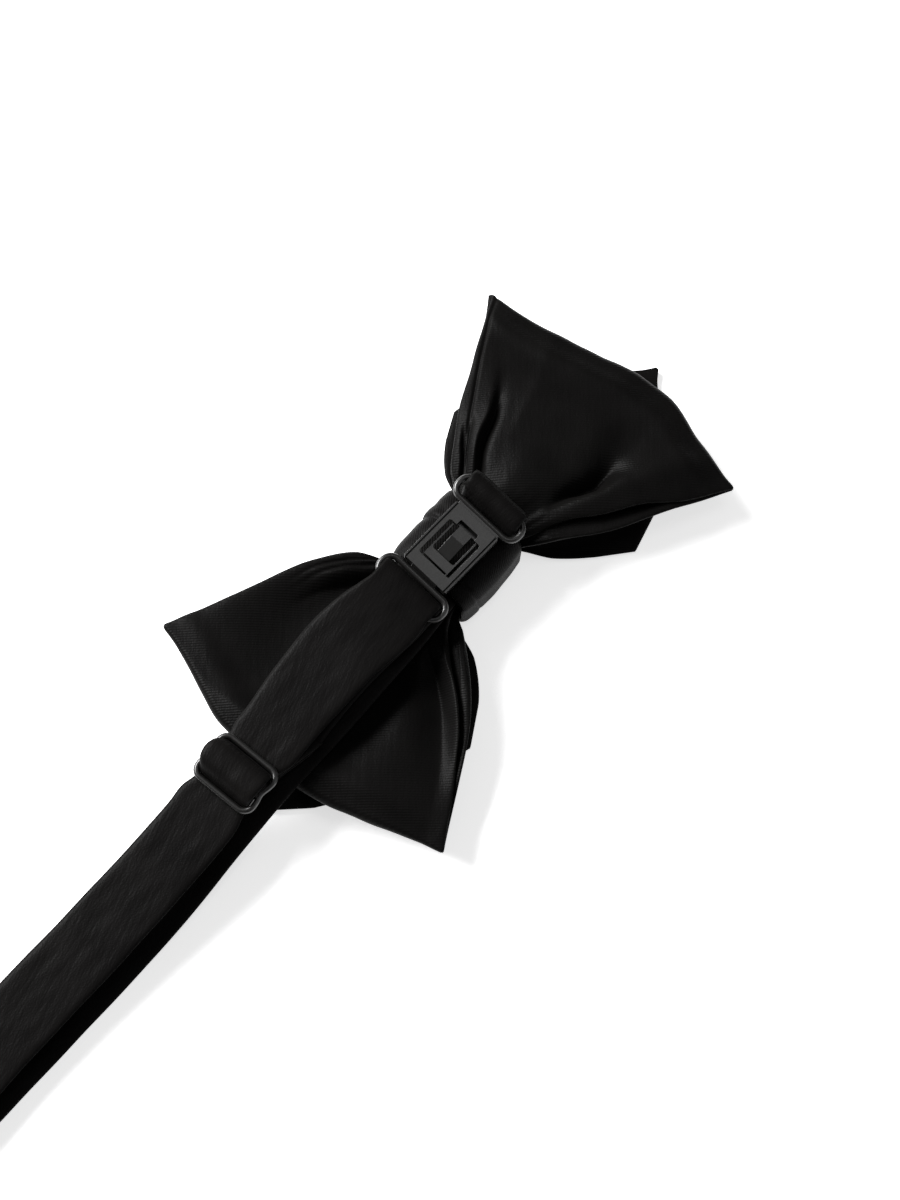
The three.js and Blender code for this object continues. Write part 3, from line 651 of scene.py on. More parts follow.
def wing(rows, end, side, folds):
    """A wing as its upper wall, its end fold and its lower wall, with how far folds draw each in."""
    v = np.linspace(-1, 1, ACROSS_BOW)[None, :]
    v = 0.7 * v + 0.3 * np.sin(v * np.pi / 2)
    last = rows["x"][-1]
    x = np.linspace(0, last, UPPER_STATIONS)[:, None] + 0 * v
    upper = wing_wall(rows, end, side, "upper", x, v + 0 * x)
    drawn = fold_depth(folds, np.abs(upper[..., 0]), upper[..., 1])
    by_knot = smooth(8, 12, x) * (1 - smooth(12, 26, x))
    gathers = ripple(v * 30 + x * 0.1, x * 0.05, SEEDS["gathers"] + side, *GATHER_WAVES)
    gathers *= 0.16 * np.abs(v) * by_knot
    wrinkles = 0.09 * ripple(x * 0.3, v * 5, SEEDS["wrinkles"] + side)
    wrinkles *= smooth(10, 20, x) * (1 - smooth(last - 4, last, x))
    hem = HEM["height"] * np.exp(-((((last - x) - HEM["inside"]) / HEM["width"]) ** 2))
    # A fold that would reach the lower wall is held back above it.
    room = room_below(rows, end, side, x, upper)
    drawn = np.where(drawn > 0, drawn / (1 + (np.abs(drawn) / room) ** 4) ** 0.25, drawn)
    lift = hem + gathers + wrinkles - drawn
    lower_x = np.linspace(last, 0, LOWER_STATIONS)[:, None] + 0 * v
    lower = wing_wall(rows, end, side, "lower", lower_x, v + 0 * lower_x)
    lower_lift = -fold_depth(FOLDS_LOWER, np.abs(lower[..., 0]), lower[..., 1])
    lower_gathers = ripple(v * 22, lower_x * 0.06, SEEDS["lower_wall"] + side)
    lower_lift -= 0.1 * smooth(8, 16, lower_x) * lower_gathers
    top, low = upper[-1][None], lower[0][None]
    radius = (top[..., 2] - low[..., 2]) / 2
    angles = np.radians(np.linspace(90, -90, END_STATIONS + 2)[1:-1])[:, None]
    end_fold = mix(low, top, ((1 + np.sin(angles)) / 2)[..., None])
    end_fold[..., 0] = top[..., 0] + side * radius * np.cos(angles)
    end_lift = mix(lower_lift[:1], lift[-1:], (1 + np.sin(angles)) / 2)
    points = np.concatenate([upper, end_fold, lower])
    return points, np.concatenate([lift, end_lift, lower_lift])


def build_back_bow():
    """The back bow: a band of satin in two flat loops, pinched in the middle by the knot."""
    right, right_lift = wing(WING_RIGHT, END_RIGHT, 1, FOLDS_RIGHT)
    left, left_lift = wing(WING_LEFT, END_LEFT, -1, FOLDS_LEFT)
    points = np.concatenate([right, left[::-1][1:-1]])
    lift = np.concatenate([right_lift, left_lift[::-1][1:-1]])
    forward = np.roll(points, -1, axis=0) - np.roll(points, 1, axis=0)
    normal = unit(np.cross(forward, np.gradient(points, axis=1)))
    share = np.linspace(-1, 1, ACROSS_BOW)[None, :]
    half = CLOTH / 2 * np.sqrt(np.clip(1 - np.abs(share) ** 40, 0.04, 1))
    outer = points + normal * (half + lift)[..., None]
    inner = points + normal * (lowest_near(lift, 3) - half)[..., None]
    bow = cloth_piece("back_bow_satin", outer, inner, True, points[..., 0], points[..., 1], satin())
    settle(bow, "satin", "back_bow")


def build_front_bow():
    """The front bow: a leaf of folded satin with a diamond point at each end."""
    v = np.linspace(-1, 1, ACROSS_LEAF)[None, :]
    left_tip, right_tip = LEAF_LEFT["x"][-1], LEAF_RIGHT["x"][-1]
    x = np.concatenate([-np.linspace(left_tip, 0, 110)[:-1], np.linspace(0, right_tip, 104)])[:, None]
    out = np.abs(x) + 0 * v

    def value(column):
        """A column through both leaves' stations, curved near the knot and straight out to the points."""
        sides = []
        for rows in (LEAF_LEFT, LEAF_RIGHT):
            straight = np.interp(out, rows["x"], rows[column])
            sides.append(np.where(out < rows["x"][3], along(rows, column, out), straight))
        return np.where(x < 0, *sides)

    y = mix(value("bottom"), value("top"), (v + 1) / 2)
    cup = 1.1 * smooth(12, 30, out) * (1 - smooth(52, 62, out)) * (1 - v**2)
    by_knot = smooth(9, 13, out) * (1 - smooth(16, 34, out))
    gathers = 0.3 * by_knot * ripple(v * 24, out * 0.03, SEEDS["leaf"], *GATHER_WAVES)
    points = np.stack([x + 0 * v, y, value("z") + cup], axis=-1)
    normal = unit(np.cross(np.gradient(points, axis=0), np.gradient(points, axis=1)))
    rounded = CLOTH / 2 * np.sqrt(np.clip(1 - np.abs(v) ** 14, 0.05, 1))
    outer = points + normal * (rounded + np.maximum(gathers, -0.2))[..., None]
    inner = points - normal * (rounded + 0 * out)[..., None]
    inner[..., 2] = np.maximum(inner[..., 2], 0.05)
    leaf = cloth_piece("front_bow_satin", outer, inner, False, points[..., 0], points[..., 1], satin())
    settle(leaf, "satin", "front_bow")


def rounded_loop(straight_a, straight_b, radius, corner_steps, straight_steps):
    """Points round a rounded rectangle, with its outward directions, as columns a, b, na, nb."""
    rows = []
    corners = ((1, 1, 0), (-1, 1, 90), (-1, -1, 180), (1, -1, 270))
    for i, (side_a, side_b, start) in enumerate(corners):
        for k in range(corner_steps + 1):
            t = math.radians(start + 90 * k / corner_steps)
            na, nb = math.cos(t), math.sin(t)
            rows.append((side_a * straight_a + radius * na, side_b * straight_b + radius * nb, na, nb))
        next_a, next_b, _ = corners[(i + 1) % 4]
        a, b, na, nb = rows[-1]
        to_a, to_b = next_a * straight_a + radius * na, next_b * straight_b + radius * nb
        for k in range(1, straight_steps):
            rows.append((mix(a, to_a, k / straight_steps), mix(b, to_b, k / straight_steps), na, nb))
    return np.array(rows)


def build_centre_knot():
    """The knot: a satin band wrapped round both bows, with the soft creases of its folds."""
    corner = KNOT["corner"]
    loop = rounded_loop(KNOT["half_height"] - corner, KNOT["thick"] / 2 - corner, corner, 14, 16)
    a, b, na, nb = (loop[:, k][:, None] for k in range(4))
    share = np.linspace(-1, 1, ACROSS_KNOT)[None, :]
    angle = np.arange(len(loop))[:, None] * 2 * np.pi / len(loop)
    free = smooth(-0.4, 0.5, nb + 0.35)
    upper_side, lower_side = smooth(-0.2, 0.4, na), smooth(-0.2, 0.4, -na)
    # A deep tuck and a shallow one in the upper side, and a nick in the lower side.
    drift = 0.12 * b / 5
    from_tuck = share - 0.02 - drift
    tuck = np.exp(-np.abs(from_tuck) / np.where(from_tuck > 0, 0.05, 0.5)) * 0.75 * upper_side
    tuck += np.exp(-(((share - 0.62 + drift) / 0.12) ** 2)) * 0.22 * upper_side
    nick = np.exp(-(((share + 0.56 + drift / 2) / 0.04) ** 2)) * 0.35 * lower_side
    wrinkles = 0.07 * ripple(share * 5, np.sin(angle) * 2.5, SEEDS["knot"])
    lift = -KNOT["crown"] * share**2 + (wrinkles - tuck - nick) * free
    edge_roll = 0.35 * np.clip((np.abs(share) - 0.9) / 0.1, 0, 1) ** 2
    z = KNOT["thick"] / 2 - KNOT["pressed"] + b
    half = KNOT["half_width"] * (1 + 0.025 * free * np.sin(angle * 3 + 1) + 0 * share)

    def face(grow, floor):
        height = np.maximum(z + nb * grow, floor)
        return np.stack([half * share, a + na * grow, height + 0 * share], axis=-1)

    outer = face(lift - edge_roll, 0.0)
    inner = face(np.minimum(lift, -0.3) - KNOT_CLOTH + edge_roll * 0.5, KNOT_CLOTH - KNOT["pressed"])
    distance = np.concatenate(([0], np.cumsum(np.hypot(np.diff(loop[:, 0]), np.diff(loop[:, 1])))))
    around = distance[:, None] + 0 * share
    knot = cloth_piece("centre_knot_satin", outer, inner, True, around, half * share, satin())
    settle(knot, "satin", "centre_knot")


# The strap and the tab

RUN = "x y z half"
RUN_OUT = table(
    RUN,
    (-1, 0, 11.1, 7.5),
    (-9, 0, 11.1, 7.6),
    (-16, -0.6, 12.2, 7.8),
    (-30, -1.2, 13.1, 7.8),
    (-46, -1, 12, 7.8),
    (-58, -0.5, 10.4, 7.8),
    (-66, -0.2, 9.3, 7.8),
    (-80, 0.1, 5.8, 7.8),
    (-97, 0.1, 2, 7.8),
    (-118, 0.6, 0.6, 7.8),
    (-150, 1.6, 0.47, 7.8),
    (-180, 2.2, 0.47, 7.8),
    (-193, 2.4, 0.5, 7.8),
)
RUN_BACK = table(
    RUN,
    (-191, 2.8, 8.2, 7.8),
    (-170, 3.4, 7.4, 7.8),
    (-140, 3.9, 7.2, 7.8),
    (-115, 3, 8.2, 7.7),
    (-95, 2.2, 10.4, 7.6),
    (-81, 1.9, 12.2, 7.5),
)
RUN_TO_RING = table(
    RUN + " yaw roll",
    (-56, 2.2, 15.1, 7.7, 0, 0),
    (-46, 2.6, 16.2, 8.3, 0, 0),
    (-34, 2.6, 17.1, 8.8, 0, 0),
    (-25, 1.4, 17.7, 8.8, -0.04, 0.1),
    (-20.5, 0.8, 18, 8.1, -0.06, 0.15),
)
RUN_RETURN = table(
    RUN + " yaw roll",
    (-22.5, 0.6, 15.2, 7.8, -0.05, 0.12),
    (-34, 1.4, 15.2, 7.8, 0, 0),
    (-46, 1.4, 13.9, 7.7, 0, 0),
    (-54, 1.2, 12.4, 7.5, 0, 0),
)
NECK_FOLD = {"x": -199, "y": 2.5, "z": 4.6, "half": 7.8, "radius": 4.1}
SEWN_END = {"x": -51.5, "y": 0.7, "z": 14.1, "half": 7.7}
STOP_FIELDS = ("x", "y", "z", "half", "yaw", "roll", "flare")


def stop(**place):
    """One place on a strap's route: x, y, z, half width, yaw, roll and how far its side edges flare out."""
    return [place.get(name, 0) for name in STOP_FIELDS]


def stops(rows):
    """A table's rows as places on a route."""
    return [stop(**{name: rows[name][i] for name in rows}) for i in range(len(rows["x"]))]


def moved(place, dx, dz, **more):
    """A place on a route, a little way along x and z from another."""
    return stop(**{**place, "x": place["x"] + dx, "z": place["z"] + dz, **more})


def turn_round(bar, start, end, steps):
    """Places round a bar or fold, from one angle to another in degrees."""
    angles = np.radians(np.linspace(start, end, steps))
    return [moved(bar, bar["radius"] * math.cos(a), bar["radius"] * math.sin(a)) for a in angles]


def clasp_bar(x, half):
    """The middle and the lean of the bar of a clasp's ring."""
    middle = CLASP_AT + CLASP_TURNED.to_matrix() @ Vector((x, 0, RING["z"]))
    lie = CLASP_TURNED.to_matrix() @ Vector((0, 1, 0))
    bar = {"x": middle.x, "y": middle.y, "z": middle.z, "radius": AROUND_BAR, "half": half}
    return {**bar, "yaw": lie.x / lie.y, "roll": lie.z / lie.y}


def on_slider(dx, dz, half, y=SLIDER["y"]):
    """A place in the slider's own slope: dx along it from its middle bar and dz above that bar."""
    return {"x": SLIDER["x"] + dx, "y": y, "z": SLIDER["z"] + dx * SLIDER_SLOPE + dz, "half": half}


def loose_turn(bar, side, nose, flare=0.25):
    """Places of a slack turn round a bar: (dx, dz) from its middle, with dx towards the clasp."""
    return [moved(bar, side * dx, dz, flare=flare) for dx, dz in nose]


def strap_route():
    """The strap's way: from the knot, round the neck, through the slider, round the hook's ring and back."""
    squeezed = 6.7
    over = WRAP + LAP
    bars = SLIDER["bars"]
    crossing = [
        stop(**on_slider(-8.5, -AROUND_BAR - 0.2, 7.5)),
        *turn_round({**on_slider(-bars, 0, squeezed), "radius": AROUND_BAR}, 270, 360, 3),
        stop(**on_slider(-3.4, 1.5, squeezed)),
        stop(**on_slider(-2.2, over - 0.1, 7.2, 2.6)),
        stop(**on_slider(0, over + 0.25, 7.5, 2.8)),
        stop(**on_slider(2.2, over - 0.1, 7.2, 2.6)),
        stop(**on_slider(3.4, 1.5, squeezed)),
        *turn_round({**on_slider(bars, 0, squeezed), "radius": AROUND_BAR}, 180, 270, 3),
        stop(**on_slider(8.5, -AROUND_BAR + 0.1, 7.6)),
    ]
    return [
        *stops(RUN_OUT),
        *turn_round(NECK_FOLD, 265, 95, 7),
        *stops(RUN_BACK),
        *crossing,
        *stops(RUN_TO_RING),
        *loose_turn(clasp_bar(-RING["far"], RING_HALF), 1, STRAP_NOSE),
        *stops(RUN_RETURN),
        *turn_round({**on_slider(bars, 0, squeezed, 2.1), "radius": AROUND_BAR + 2 * LAP}, 280, 210, 3),
        *turn_round({**on_slider(0, 0, squeezed, 2.1), "radius": WRAP}, 285, 75, 7),
        *turn_round({**on_slider(bars, 0, squeezed, 2.1), "radius": AROUND_BAR + LAP}, 180, 280, 4),
        stop(**SEWN_END),
    ]


def tab_route():
    """The tab's way from inside the knot, over the eye ring's far bar and back."""
    bar = clasp_bar(RING["far"], TAB_HALF)
    inner, outer = 10.65, 11.95
    rise = bar["z"] - outer

    def tab(x, z, lean=0.0):
        return stop(x=x, y=bar["y"] / 2, z=z, half=TAB_HALF, yaw=bar["yaw"] * lean, roll=bar["roll"] * lean)

    return [
        tab(1, inner),
        tab(9.8, inner + 0.05),
        tab(bar["x"] + 0.4, inner + 0.2 * rise, 0.3),
        tab(bar["x"] + 1.4, inner + 0.6 * rise, 0.8),
        *loose_turn({**bar, "half": 7.3}, -1, TAB_NOSE, 0.05),
        tab(bar["x"] - 3.7, outer + 0.2 * rise, 0.2),
        tab(9, outer + 0.1),
        tab(7.6, outer),
        tab(1, outer),
    ]


def smooth_route(route, spacing):
    """A centripetal Catmull-Rom curve through a route's places, in steps of about one spacing."""
    knots = np.array(route, float)
    first, last = 2 * knots[0] - knots[1], 2 * knots[-1] - knots[-2]
    padded = np.concatenate([[first], knots, [last]])
    found = []
    for i in range(1, len(padded) - 2):
        four = padded[i - 1 : i + 3]
        gaps = np.maximum(np.linalg.norm(np.diff(four[:, :3], axis=0), axis=1), 1e-4) ** 0.5
        t = np.concatenate(([0], np.cumsum(gaps)))
        count = max(2, round(float(gaps[1]) ** 2 / spacing))
        for s in np.linspace(t[1], t[2], count, endpoint=False):
            pairs = [mix(four[k], four[k + 1], (s - t[k]) / (t[k + 1] - t[k])) for k in range(3)]
            threes = [mix(pairs[k], pairs[k + 1], (s - t[k]) / (t[k + 2] - t[k])) for k in range(2)]
            found.append(mix(threes[0], threes[1], (s - t[1]) / (t[2] - t[1])))
    return np.array([*found, knots[-1]])


def band_piece(name, route, spacing, seed, node):
    """A ribbon along a route, with soft edges and the crinkle of worn satin."""
    line = smooth_route(route, spacing)
    centre, half, yaw, roll, flare = line[:, :3], line[:, 3], line[:, 4], line[:, 5], line[:, 6]
    tangent = unit(np.gradient(centre, axis=0))
    up = unit(np.stack([-tangent[:, 2], np.zeros(len(line)), tangent[:, 0]], axis=1))
    steps = np.linalg.norm(np.diff(centre, axis=0), axis=1)
    distance = np.concatenate(([0], np.cumsum(steps)))[:, None]
    u = np.linspace(-1, 1, ACROSS_STRAP)[None, :]
    across = half[:, None] * (u + 0.006 * ripple(distance * 0.25, u, seed + 3))
    lean = np.stack([yaw[:, None] * across, across, roll[:, None] * across], axis=-1)
    rounded = np.sqrt(np.clip(1 - np.abs(u) ** 12, 0.04, 1)) * STRAP / 2
    crinkle = 0.045 * ripple(distance * 0.5 + across * 0.25, across * 1.3, seed, 9, 0.5, 1.6)
    crinkle *= 1 - np.abs(u) ** 6
    crinkle += flare[:, None] * np.abs(u) ** 8
    middle = centre[:, None, :] + lean
    outer = middle + up[:, None, :] * (rounded + crinkle)[..., None]
    inner = middle + up[:, None, :] * (crinkle - rounded)[..., None]
    along_cloth = distance + 0 * u
    ribbon = cloth_piece(name, outer, inner, False, along_cloth, across, strap_satin())
    settle(ribbon, "strap_satin", node)


def build_neck_strap():
    band_piece("neck_strap_satin", strap_route(), 0.8, SEEDS["strap"], "neck_strap")


def build_strap_tab():
    band_piece("strap_tab_satin", tab_route(), 0.35, SEEDS["tab"], "strap_tab")


# Metal fittings, modelled in their own frames

def deselect():
    bpy.ops.object.select_all(action="DESELECT")


def choose(piece):
    """Makes a piece the only selected one and the active one."""
    deselect()
    piece.select_set(True)
    bpy.context.view_layer.objects.active = piece


def apply_place():
    """Moves the chosen piece's place, turn and size into its mesh."""
    bpy.ops.object.transform_apply(location=True, rotation=True, scale=True)


def block(name, low, high):
    """A box between two corners, in millimetres."""
    deselect()
    bpy.ops.mesh.primitive_cube_add(size=1, location=(Vector(low) + Vector(high)) * MM / 2)
    piece = bpy.context.object
    piece.name = name
    piece.scale = (Vector(high) - Vector(low)) * MM
    apply_place()
    return piece


def edit_edges(piece, chosen):
    """Enters edit mode with the edges selected whose two points, in millimetres, chosen() approves."""
    bpy.context.view_layer.objects.active = piece
    bpy.ops.object.mode_set(mode="EDIT")
    bpy.ops.mesh.select_mode(type="EDGE")
    bpy.ops.mesh.select_all(action="DESELECT")
    bpy.ops.object.mode_set(mode="OBJECT")
    points = [v.co / MM for v in piece.data.vertices]
    for edge in piece.data.edges:
        a, b = edge.vertices
        edge.select = bool(chosen(points[a], points[b]))
    bpy.ops.object.mode_set(mode="EDIT")


def round_upright_edges(piece, radius):
    """Rounds a block's upright edges in edit mode."""
    edit_edges(piece, lambda a, b: abs(a.x - b.x) < 0.01 and abs(a.y - b.y) < 0.01)
    bpy.ops.mesh.bevel(offset=radius * MM, segments=5, affect="EDGES")
    bpy.ops.object.mode_set(mode="OBJECT")


def cut(piece, cutter):
    """Cuts one piece by another with a Boolean modifier, and deletes the cutter."""
    modifier = piece.modifiers.new("cut", "BOOLEAN")
    modifier.operation = "DIFFERENCE"
    modifier.solver = "EXACT"
    modifier.object = cutter
    deselect()
    bpy.context.view_layer.objects.active = piece
    bpy.ops.object.modifier_apply(modifier=modifier.name)
    bpy.data.objects.remove(cutter)


def split_across(piece, places):
    """Splits a piece's faces across x at each place, so that the piece can be bent there."""
    bpy.context.view_layer.objects.active = piece
    bpy.ops.object.mode_set(mode="EDIT")
    for place in places:
        bpy.ops.mesh.select_all(action="SELECT")
        bpy.ops.mesh.bisect(plane_co=(place * MM, 0, 0), plane_no=(1, 0, 0))
    bpy.ops.object.mode_set(mode="OBJECT")


def soften(piece, width, segments=3, degrees=35):
    """Rounds every sharp edge a little and shades the rest smooth."""
    bevel = piece.modifiers.new("soften", "BEVEL")
    bevel.width = width * MM
    bevel.segments = segments
    bevel.limit_method = "ANGLE"
    bevel.angle_limit = math.radians(degrees)
    bevel.harden_normals = False
    choose(piece)
    bpy.ops.object.modifier_apply(modifier=bevel.name)
    shade_flats(piece)


def shade_flats(piece):
    """Shades a piece smooth over its soft edges, with its flat faces kept flat."""
    choose(piece)
    bpy.ops.object.shade_smooth_by_angle(angle=math.radians(50))
    even = piece.modifiers.new("even", "WEIGHTED_NORMAL")
    even.keep_sharp = True
    bpy.ops.object.modifier_apply(modifier=even.name)


def wire_ring(name, x0, x1, half, z, corner, waist=0.0):
    """A closed ring of round wire: a plane with rounded corners whose outline gets the wire's thickness."""
    deselect()
    bpy.ops.mesh.primitive_plane_add(size=1, location=((x0 + x1) / 2 * MM, 0, z * MM))
    ring = bpy.context.object
    ring.name = name
    ring.scale = ((x1 - x0) * MM, 2 * half * MM, 1)
    apply_place()
    bpy.ops.object.mode_set(mode="EDIT")
    bpy.ops.mesh.select_all(action="SELECT")
    bpy.ops.mesh.bevel(offset=corner * MM, segments=10, affect="VERTICES")
    bpy.ops.mesh.select_all(action="SELECT")
    bpy.ops.mesh.delete(type="ONLY_FACE")
    bpy.ops.object.mode_set(mode="OBJECT")
    if waist:
        side = half - 0.01
        edit_edges(ring, lambda a, b: abs(a.y) > side and abs(b.y) > side and abs(a.x - b.x) > 2)
        bpy.ops.mesh.subdivide(number_cuts=11)
        bpy.ops.object.mode_set(mode="OBJECT")
        for vertex in ring.data.vertices:
            from_middle = vertex.co.x / MM - (x0 + x1) / 2
            vertex.co.y *= 1 - waist / half * math.exp(-((from_middle / 1.7) ** 2))
    choose(ring)
    bpy.ops.object.convert(target="CURVE")
    ring.data.bevel_depth = WIRE / 2 * MM
    ring.data.bevel_resolution = 5
    bpy.ops.object.convert(target="MESH")
    bpy.ops.object.shade_smooth()
    return bpy.context.object


def join(name, *pieces):
    """Joins meshes into one piece."""
    deselect()
    for piece in pieces:
        piece.select_set(True)
    bpy.context.view_layer.objects.active = pieces[0]
    bpy.ops.object.join()
    joined = bpy.context.object
    joined.name = name
    joined.data.name = name
    return joined


def place_fitting(piece, place, node):
    """Puts a finished fitting in its place on the part, with the place in its mesh."""
    piece.matrix_world = place
    choose(piece)
    apply_place()
    piece.data.materials.clear()
    piece.data.materials.append(black_metal())
    settle(piece, "black_metal", node)


def build_clasp_eye():
    """The clasp's eye: a box of folded sheet with a stepped window, and the ring that the tab holds."""
    length, half, height, sheet = BOX["half_length"], BOX["half"], BOX["height"], BOX["sheet"]
    box = block("clasp_eye_box", (-length, -half, 0), (length, half, height))
    round_upright_edges(box, 0.45)
    inside = (length - sheet, half - sheet, height - sheet)
    cut(box, block("cavity", (-length - 1, -half + sheet, BOX["floor"]), inside))
    x0, x1, low, over = WINDOW["x0"], WINDOW["x1"], WINDOW["from"], height + 1
    window = block("window", (x0, -WINDOW["half"], low), (x1, WINDOW["half"], over))
    round_upright_edges(window, 0.6)
    cut(box, window)
    notch_half = WINDOW["notch_half"]
    notch = block("notch", (x1 - 1, -notch_half, low), (WINDOW["notch"], notch_half, over))
    round_upright_edges(notch, 0.3)
    cut(box, notch)
    cut(box, block("opening", (x0 - 1, OPENING["low"], -1), (x1 + 0.5, OPENING["high"], 1)))
    soften(box, 0.05, 2)
    for side in (-1, 1):
        seam = SEAM["half"]
        groove = block("groove", (-length - 1, -seam, -seam), (length + 1, seam, seam))
        bpy.ops.transform.rotate(value=math.pi / 4, orient_axis="X", center_override=(0, 0, 0))
        place = (0, side * (half - SEAM["inside"]) * MM, (height - SEAM["sunk"]) * MM)
        bpy.ops.transform.translate(value=place)
        apply_place()
        cut(box, groove)
    if box.data.has_custom_normals:
        bpy.ops.mesh.customdata_custom_splitnormals_clear()
    shade_flats(box)
    neck = block("neck", (length - 0.3, -half + 0.4, 0.3), (RING["near"], half - 0.4, RING["z"] + 0.45))
    soften(neck, 0.15)
    ring = wire_ring("eye_ring", RING["near"], RING["far"], RING["half"], RING["z"], RING["corner"])
    place_fitting(join("clasp_eye_metal", box, neck, ring), CLASP_PLACE, "clasp_eye")


def build_clasp_hook():
    """The clasp's hook: a flat tongue whose sprung catch rises into the window, and the strap's ring."""
    z, top, half = TONGUE["z"], TONGUE["z"] + TONGUE["sheet"], TONGUE["half"]
    tongue = block("clasp_hook_tongue", (TONGUE["x0"], -half, z), (TONGUE["x1"], half, top))
    round_upright_edges(tongue, 0.8)
    slot = block("slot", (CATCH["root"], -CATCH_SLOT["half"], 0), (CATCH_SLOT["end"], CATCH_SLOT["half"], 3))
    round_upright_edges(slot, 0.5)
    cut(tongue, slot)
    crease = TONGUE["crease_half"]
    cut(tongue, block("crease", (WINDOW["x0"] - 0.8, -crease, 0), (WINDOW["x0"] + 0.55, crease, 3)))
    split_across(tongue, TONGUE_BEND)
    for vertex in tongue.data.vertices:
        if vertex.co.x < sum(TONGUE_BEND) / 2 * MM:
            vertex.co.z -= TONGUE["sunk"] * MM
    soften(tongue, 0.08)
    root, catch_half = CATCH["root"], CATCH["half"]
    catch = block("catch", (root - 0.4, -catch_half, z), (CATCH["tip"], catch_half, top))
    split_across(catch, (root + 0.2, CATCH["top"]))
    for vertex in catch.data.vertices:
        x = vertex.co.x / MM
        rise = CATCH["rise"] if x > root + 0.5 else -CATCH["drop"] * (x > root)
        vertex.co.z += (rise - 0.15 * (x > CATCH["top"] + 0.1)) * MM
    soften(catch, 0.07, degrees=12)
    ring = wire_ring("hook_ring", -RING["far"], -RING["near"], RING["half"], RING["z"], RING["corner"])
    place_fitting(join("clasp_hook_metal", tongue, catch, ring), CLASP_PLACE, "clasp_hook")


def build_slider():
    """The slider: a wire frame pinched at its waist, with the bar that the strap's end is sewn round."""
    bars, half = SLIDER["bars"], SLIDER["half"]
    wire = wire_ring("slider_frame", -bars, bars, half, 0, SLIDER["corner"], SLIDER["waist"])
    deselect()
    length = 2 * (half - SLIDER["waist"]) * MM
    bpy.ops.mesh.primitive_cylinder_add(
        vertices=24, radius=WIRE / 2 * MM, depth=length, rotation=(math.pi / 2, 0, 0)
    )
    bar = bpy.context.object
    apply_place()
    bpy.ops.object.shade_smooth_by_angle(angle=math.radians(50))
    place_fitting(join("strap_slider_metal", wire, bar), SLIDER_PLACE, "strap_slider")


# The stage

def area_light(name, place, size, power):
    """A soft rectangular light that shines at the part's origin."""
    light = bpy.data.lights.new(name, "AREA")
    light.shape = "RECTANGLE"
    light.size, light.size_y = size
    light.energy = power
    lamp = bpy.data.objects.new(name, light)
    bpy.context.scene.collection.objects.link(lamp)
    lamp.location = place
    lamp.rotation_euler = (-Vector(place)).to_track_quat("-Z", "Y").to_euler()


def build_stage():
    """The white floor, the soft lights and the camera, which looks down at the tie's back."""
    stage = bpy.context.scene.bow_tie_stage
    deselect()
    bpy.ops.mesh.primitive_plane_add(size=stage.floor, location=(0, 0, 0))
    floor = bpy.context.object
    floor.name = "floor"
    material, _, shader = new_material("white_floor")
    set_inputs(shader, base_color=(0.93, 0.93, 0.93, 1), roughness=0.9, specular_IOR_level=0.1)
    set_inputs(shader, emission_color=(1, 1, 1, 1), emission_strength=stage.glow)
    floor.data.materials.append(material)
    world = bpy.data.worlds.new("soft_room")
    world.use_nodes = True
    set_inputs(world.node_tree.nodes["Background"], color=(1, 1, 1, 1), strength=stage.room)
    bpy.context.scene.world = world
    bpy.context.scene.view_settings.view_transform = "Standard"
    area_light("window_light", (-0.2, 0.94, 0.77), (0.8, 0.55), stage.key)
    area_light("fill_light", (0.25, -0.9, 0.7), (0.6, 0.6), stage.fill)
    area_light("card_light", (0.17, -0.07, 1.18), (0.32, 0.32), stage.card)
    target = Vector((-0.00661, -0.00357, 0))
    seat = Vector((-0.16381, -0.13548, 0.56382))
    camera_data = bpy.data.cameras.new("camera")
    camera_data.lens = 83.7
    camera_data.sensor_width = 36
    camera_data.clip_start = 0.01
    camera = bpy.data.objects.new("camera", camera_data)
    bpy.context.scene.collection.objects.link(camera)
    camera.location = seat
    camera.rotation_euler = (target - seat).to_track_quat("-Z", "Y").to_euler()
    bpy.context.scene.camera = camera


# Settings, operators and the panel

def number_setting(name, description, default, most, least=0, **more):
    return FloatProperty(
        name=name, description=description, default=default, min=least, max=most, **more
    )


def colour_setting(name, description, default):
    return FloatVectorProperty(
        name=name, description=description, default=default, subtype="COLOR", min=0, max=1
    )


class BowTieSatin(bpy.types.PropertyGroup):
    """The satin of the bows and the strap."""

    colour: colour_setting("Satin", "Base colour of the bows and the knot", (0.0034, 0.0032, 0.0031))
    strap_colour: colour_setting("Strap", "Base colour of the strap and the tab", (0.004, 0.0037, 0.0036))
    twill: number_setting(
        "Twill", "Distance between the twill's lines", 0.00055, 0.005, 0.0001, unit="LENGTH", precision=5
    )
    twill_height: number_setting(
        "Twill height", "Height of the twill's lines", 0.00003, 0.001, unit="LENGTH", precision=6
    )
    roughness: number_setting("Roughness", "How dull the satin is", 0.42, 1, subtype="FACTOR")
    sheen: number_setting("Sheen", "How much light the satin's nap returns", 0.004, 1, subtype="FACTOR")


class BowTieFittings(bpy.types.PropertyGroup):
    """The enamelled metal of the clasp and the slider."""

    colour: colour_setting("Enamel", "Base colour of the metal fittings", (0.005, 0.0048, 0.0046))
    roughness: number_setting("Roughness", "How dull the enamel is", 0.3, 1, subtype="FACTOR")


class BowTieStage(bpy.types.PropertyGroup):
    """The floor and the light."""

    floor: number_setting("Floor", "Width of the floor", 6.0, 20, 0.5, unit="LENGTH")
    glow: number_setting("Floor glow", "How strongly the floor glows by itself", 0.62, 5)
    room: number_setting("Room light", "Strength of the room's own light", 0.14, 5)
    key: number_setting("Window", "Power of the side light", 40, 500, unit="POWER")
    card: number_setting("Card", "Power of the small light above", 0.6, 50, unit="POWER")
    fill: number_setting("Fill", "Power of the fill light", 1.3, 500, unit="POWER")


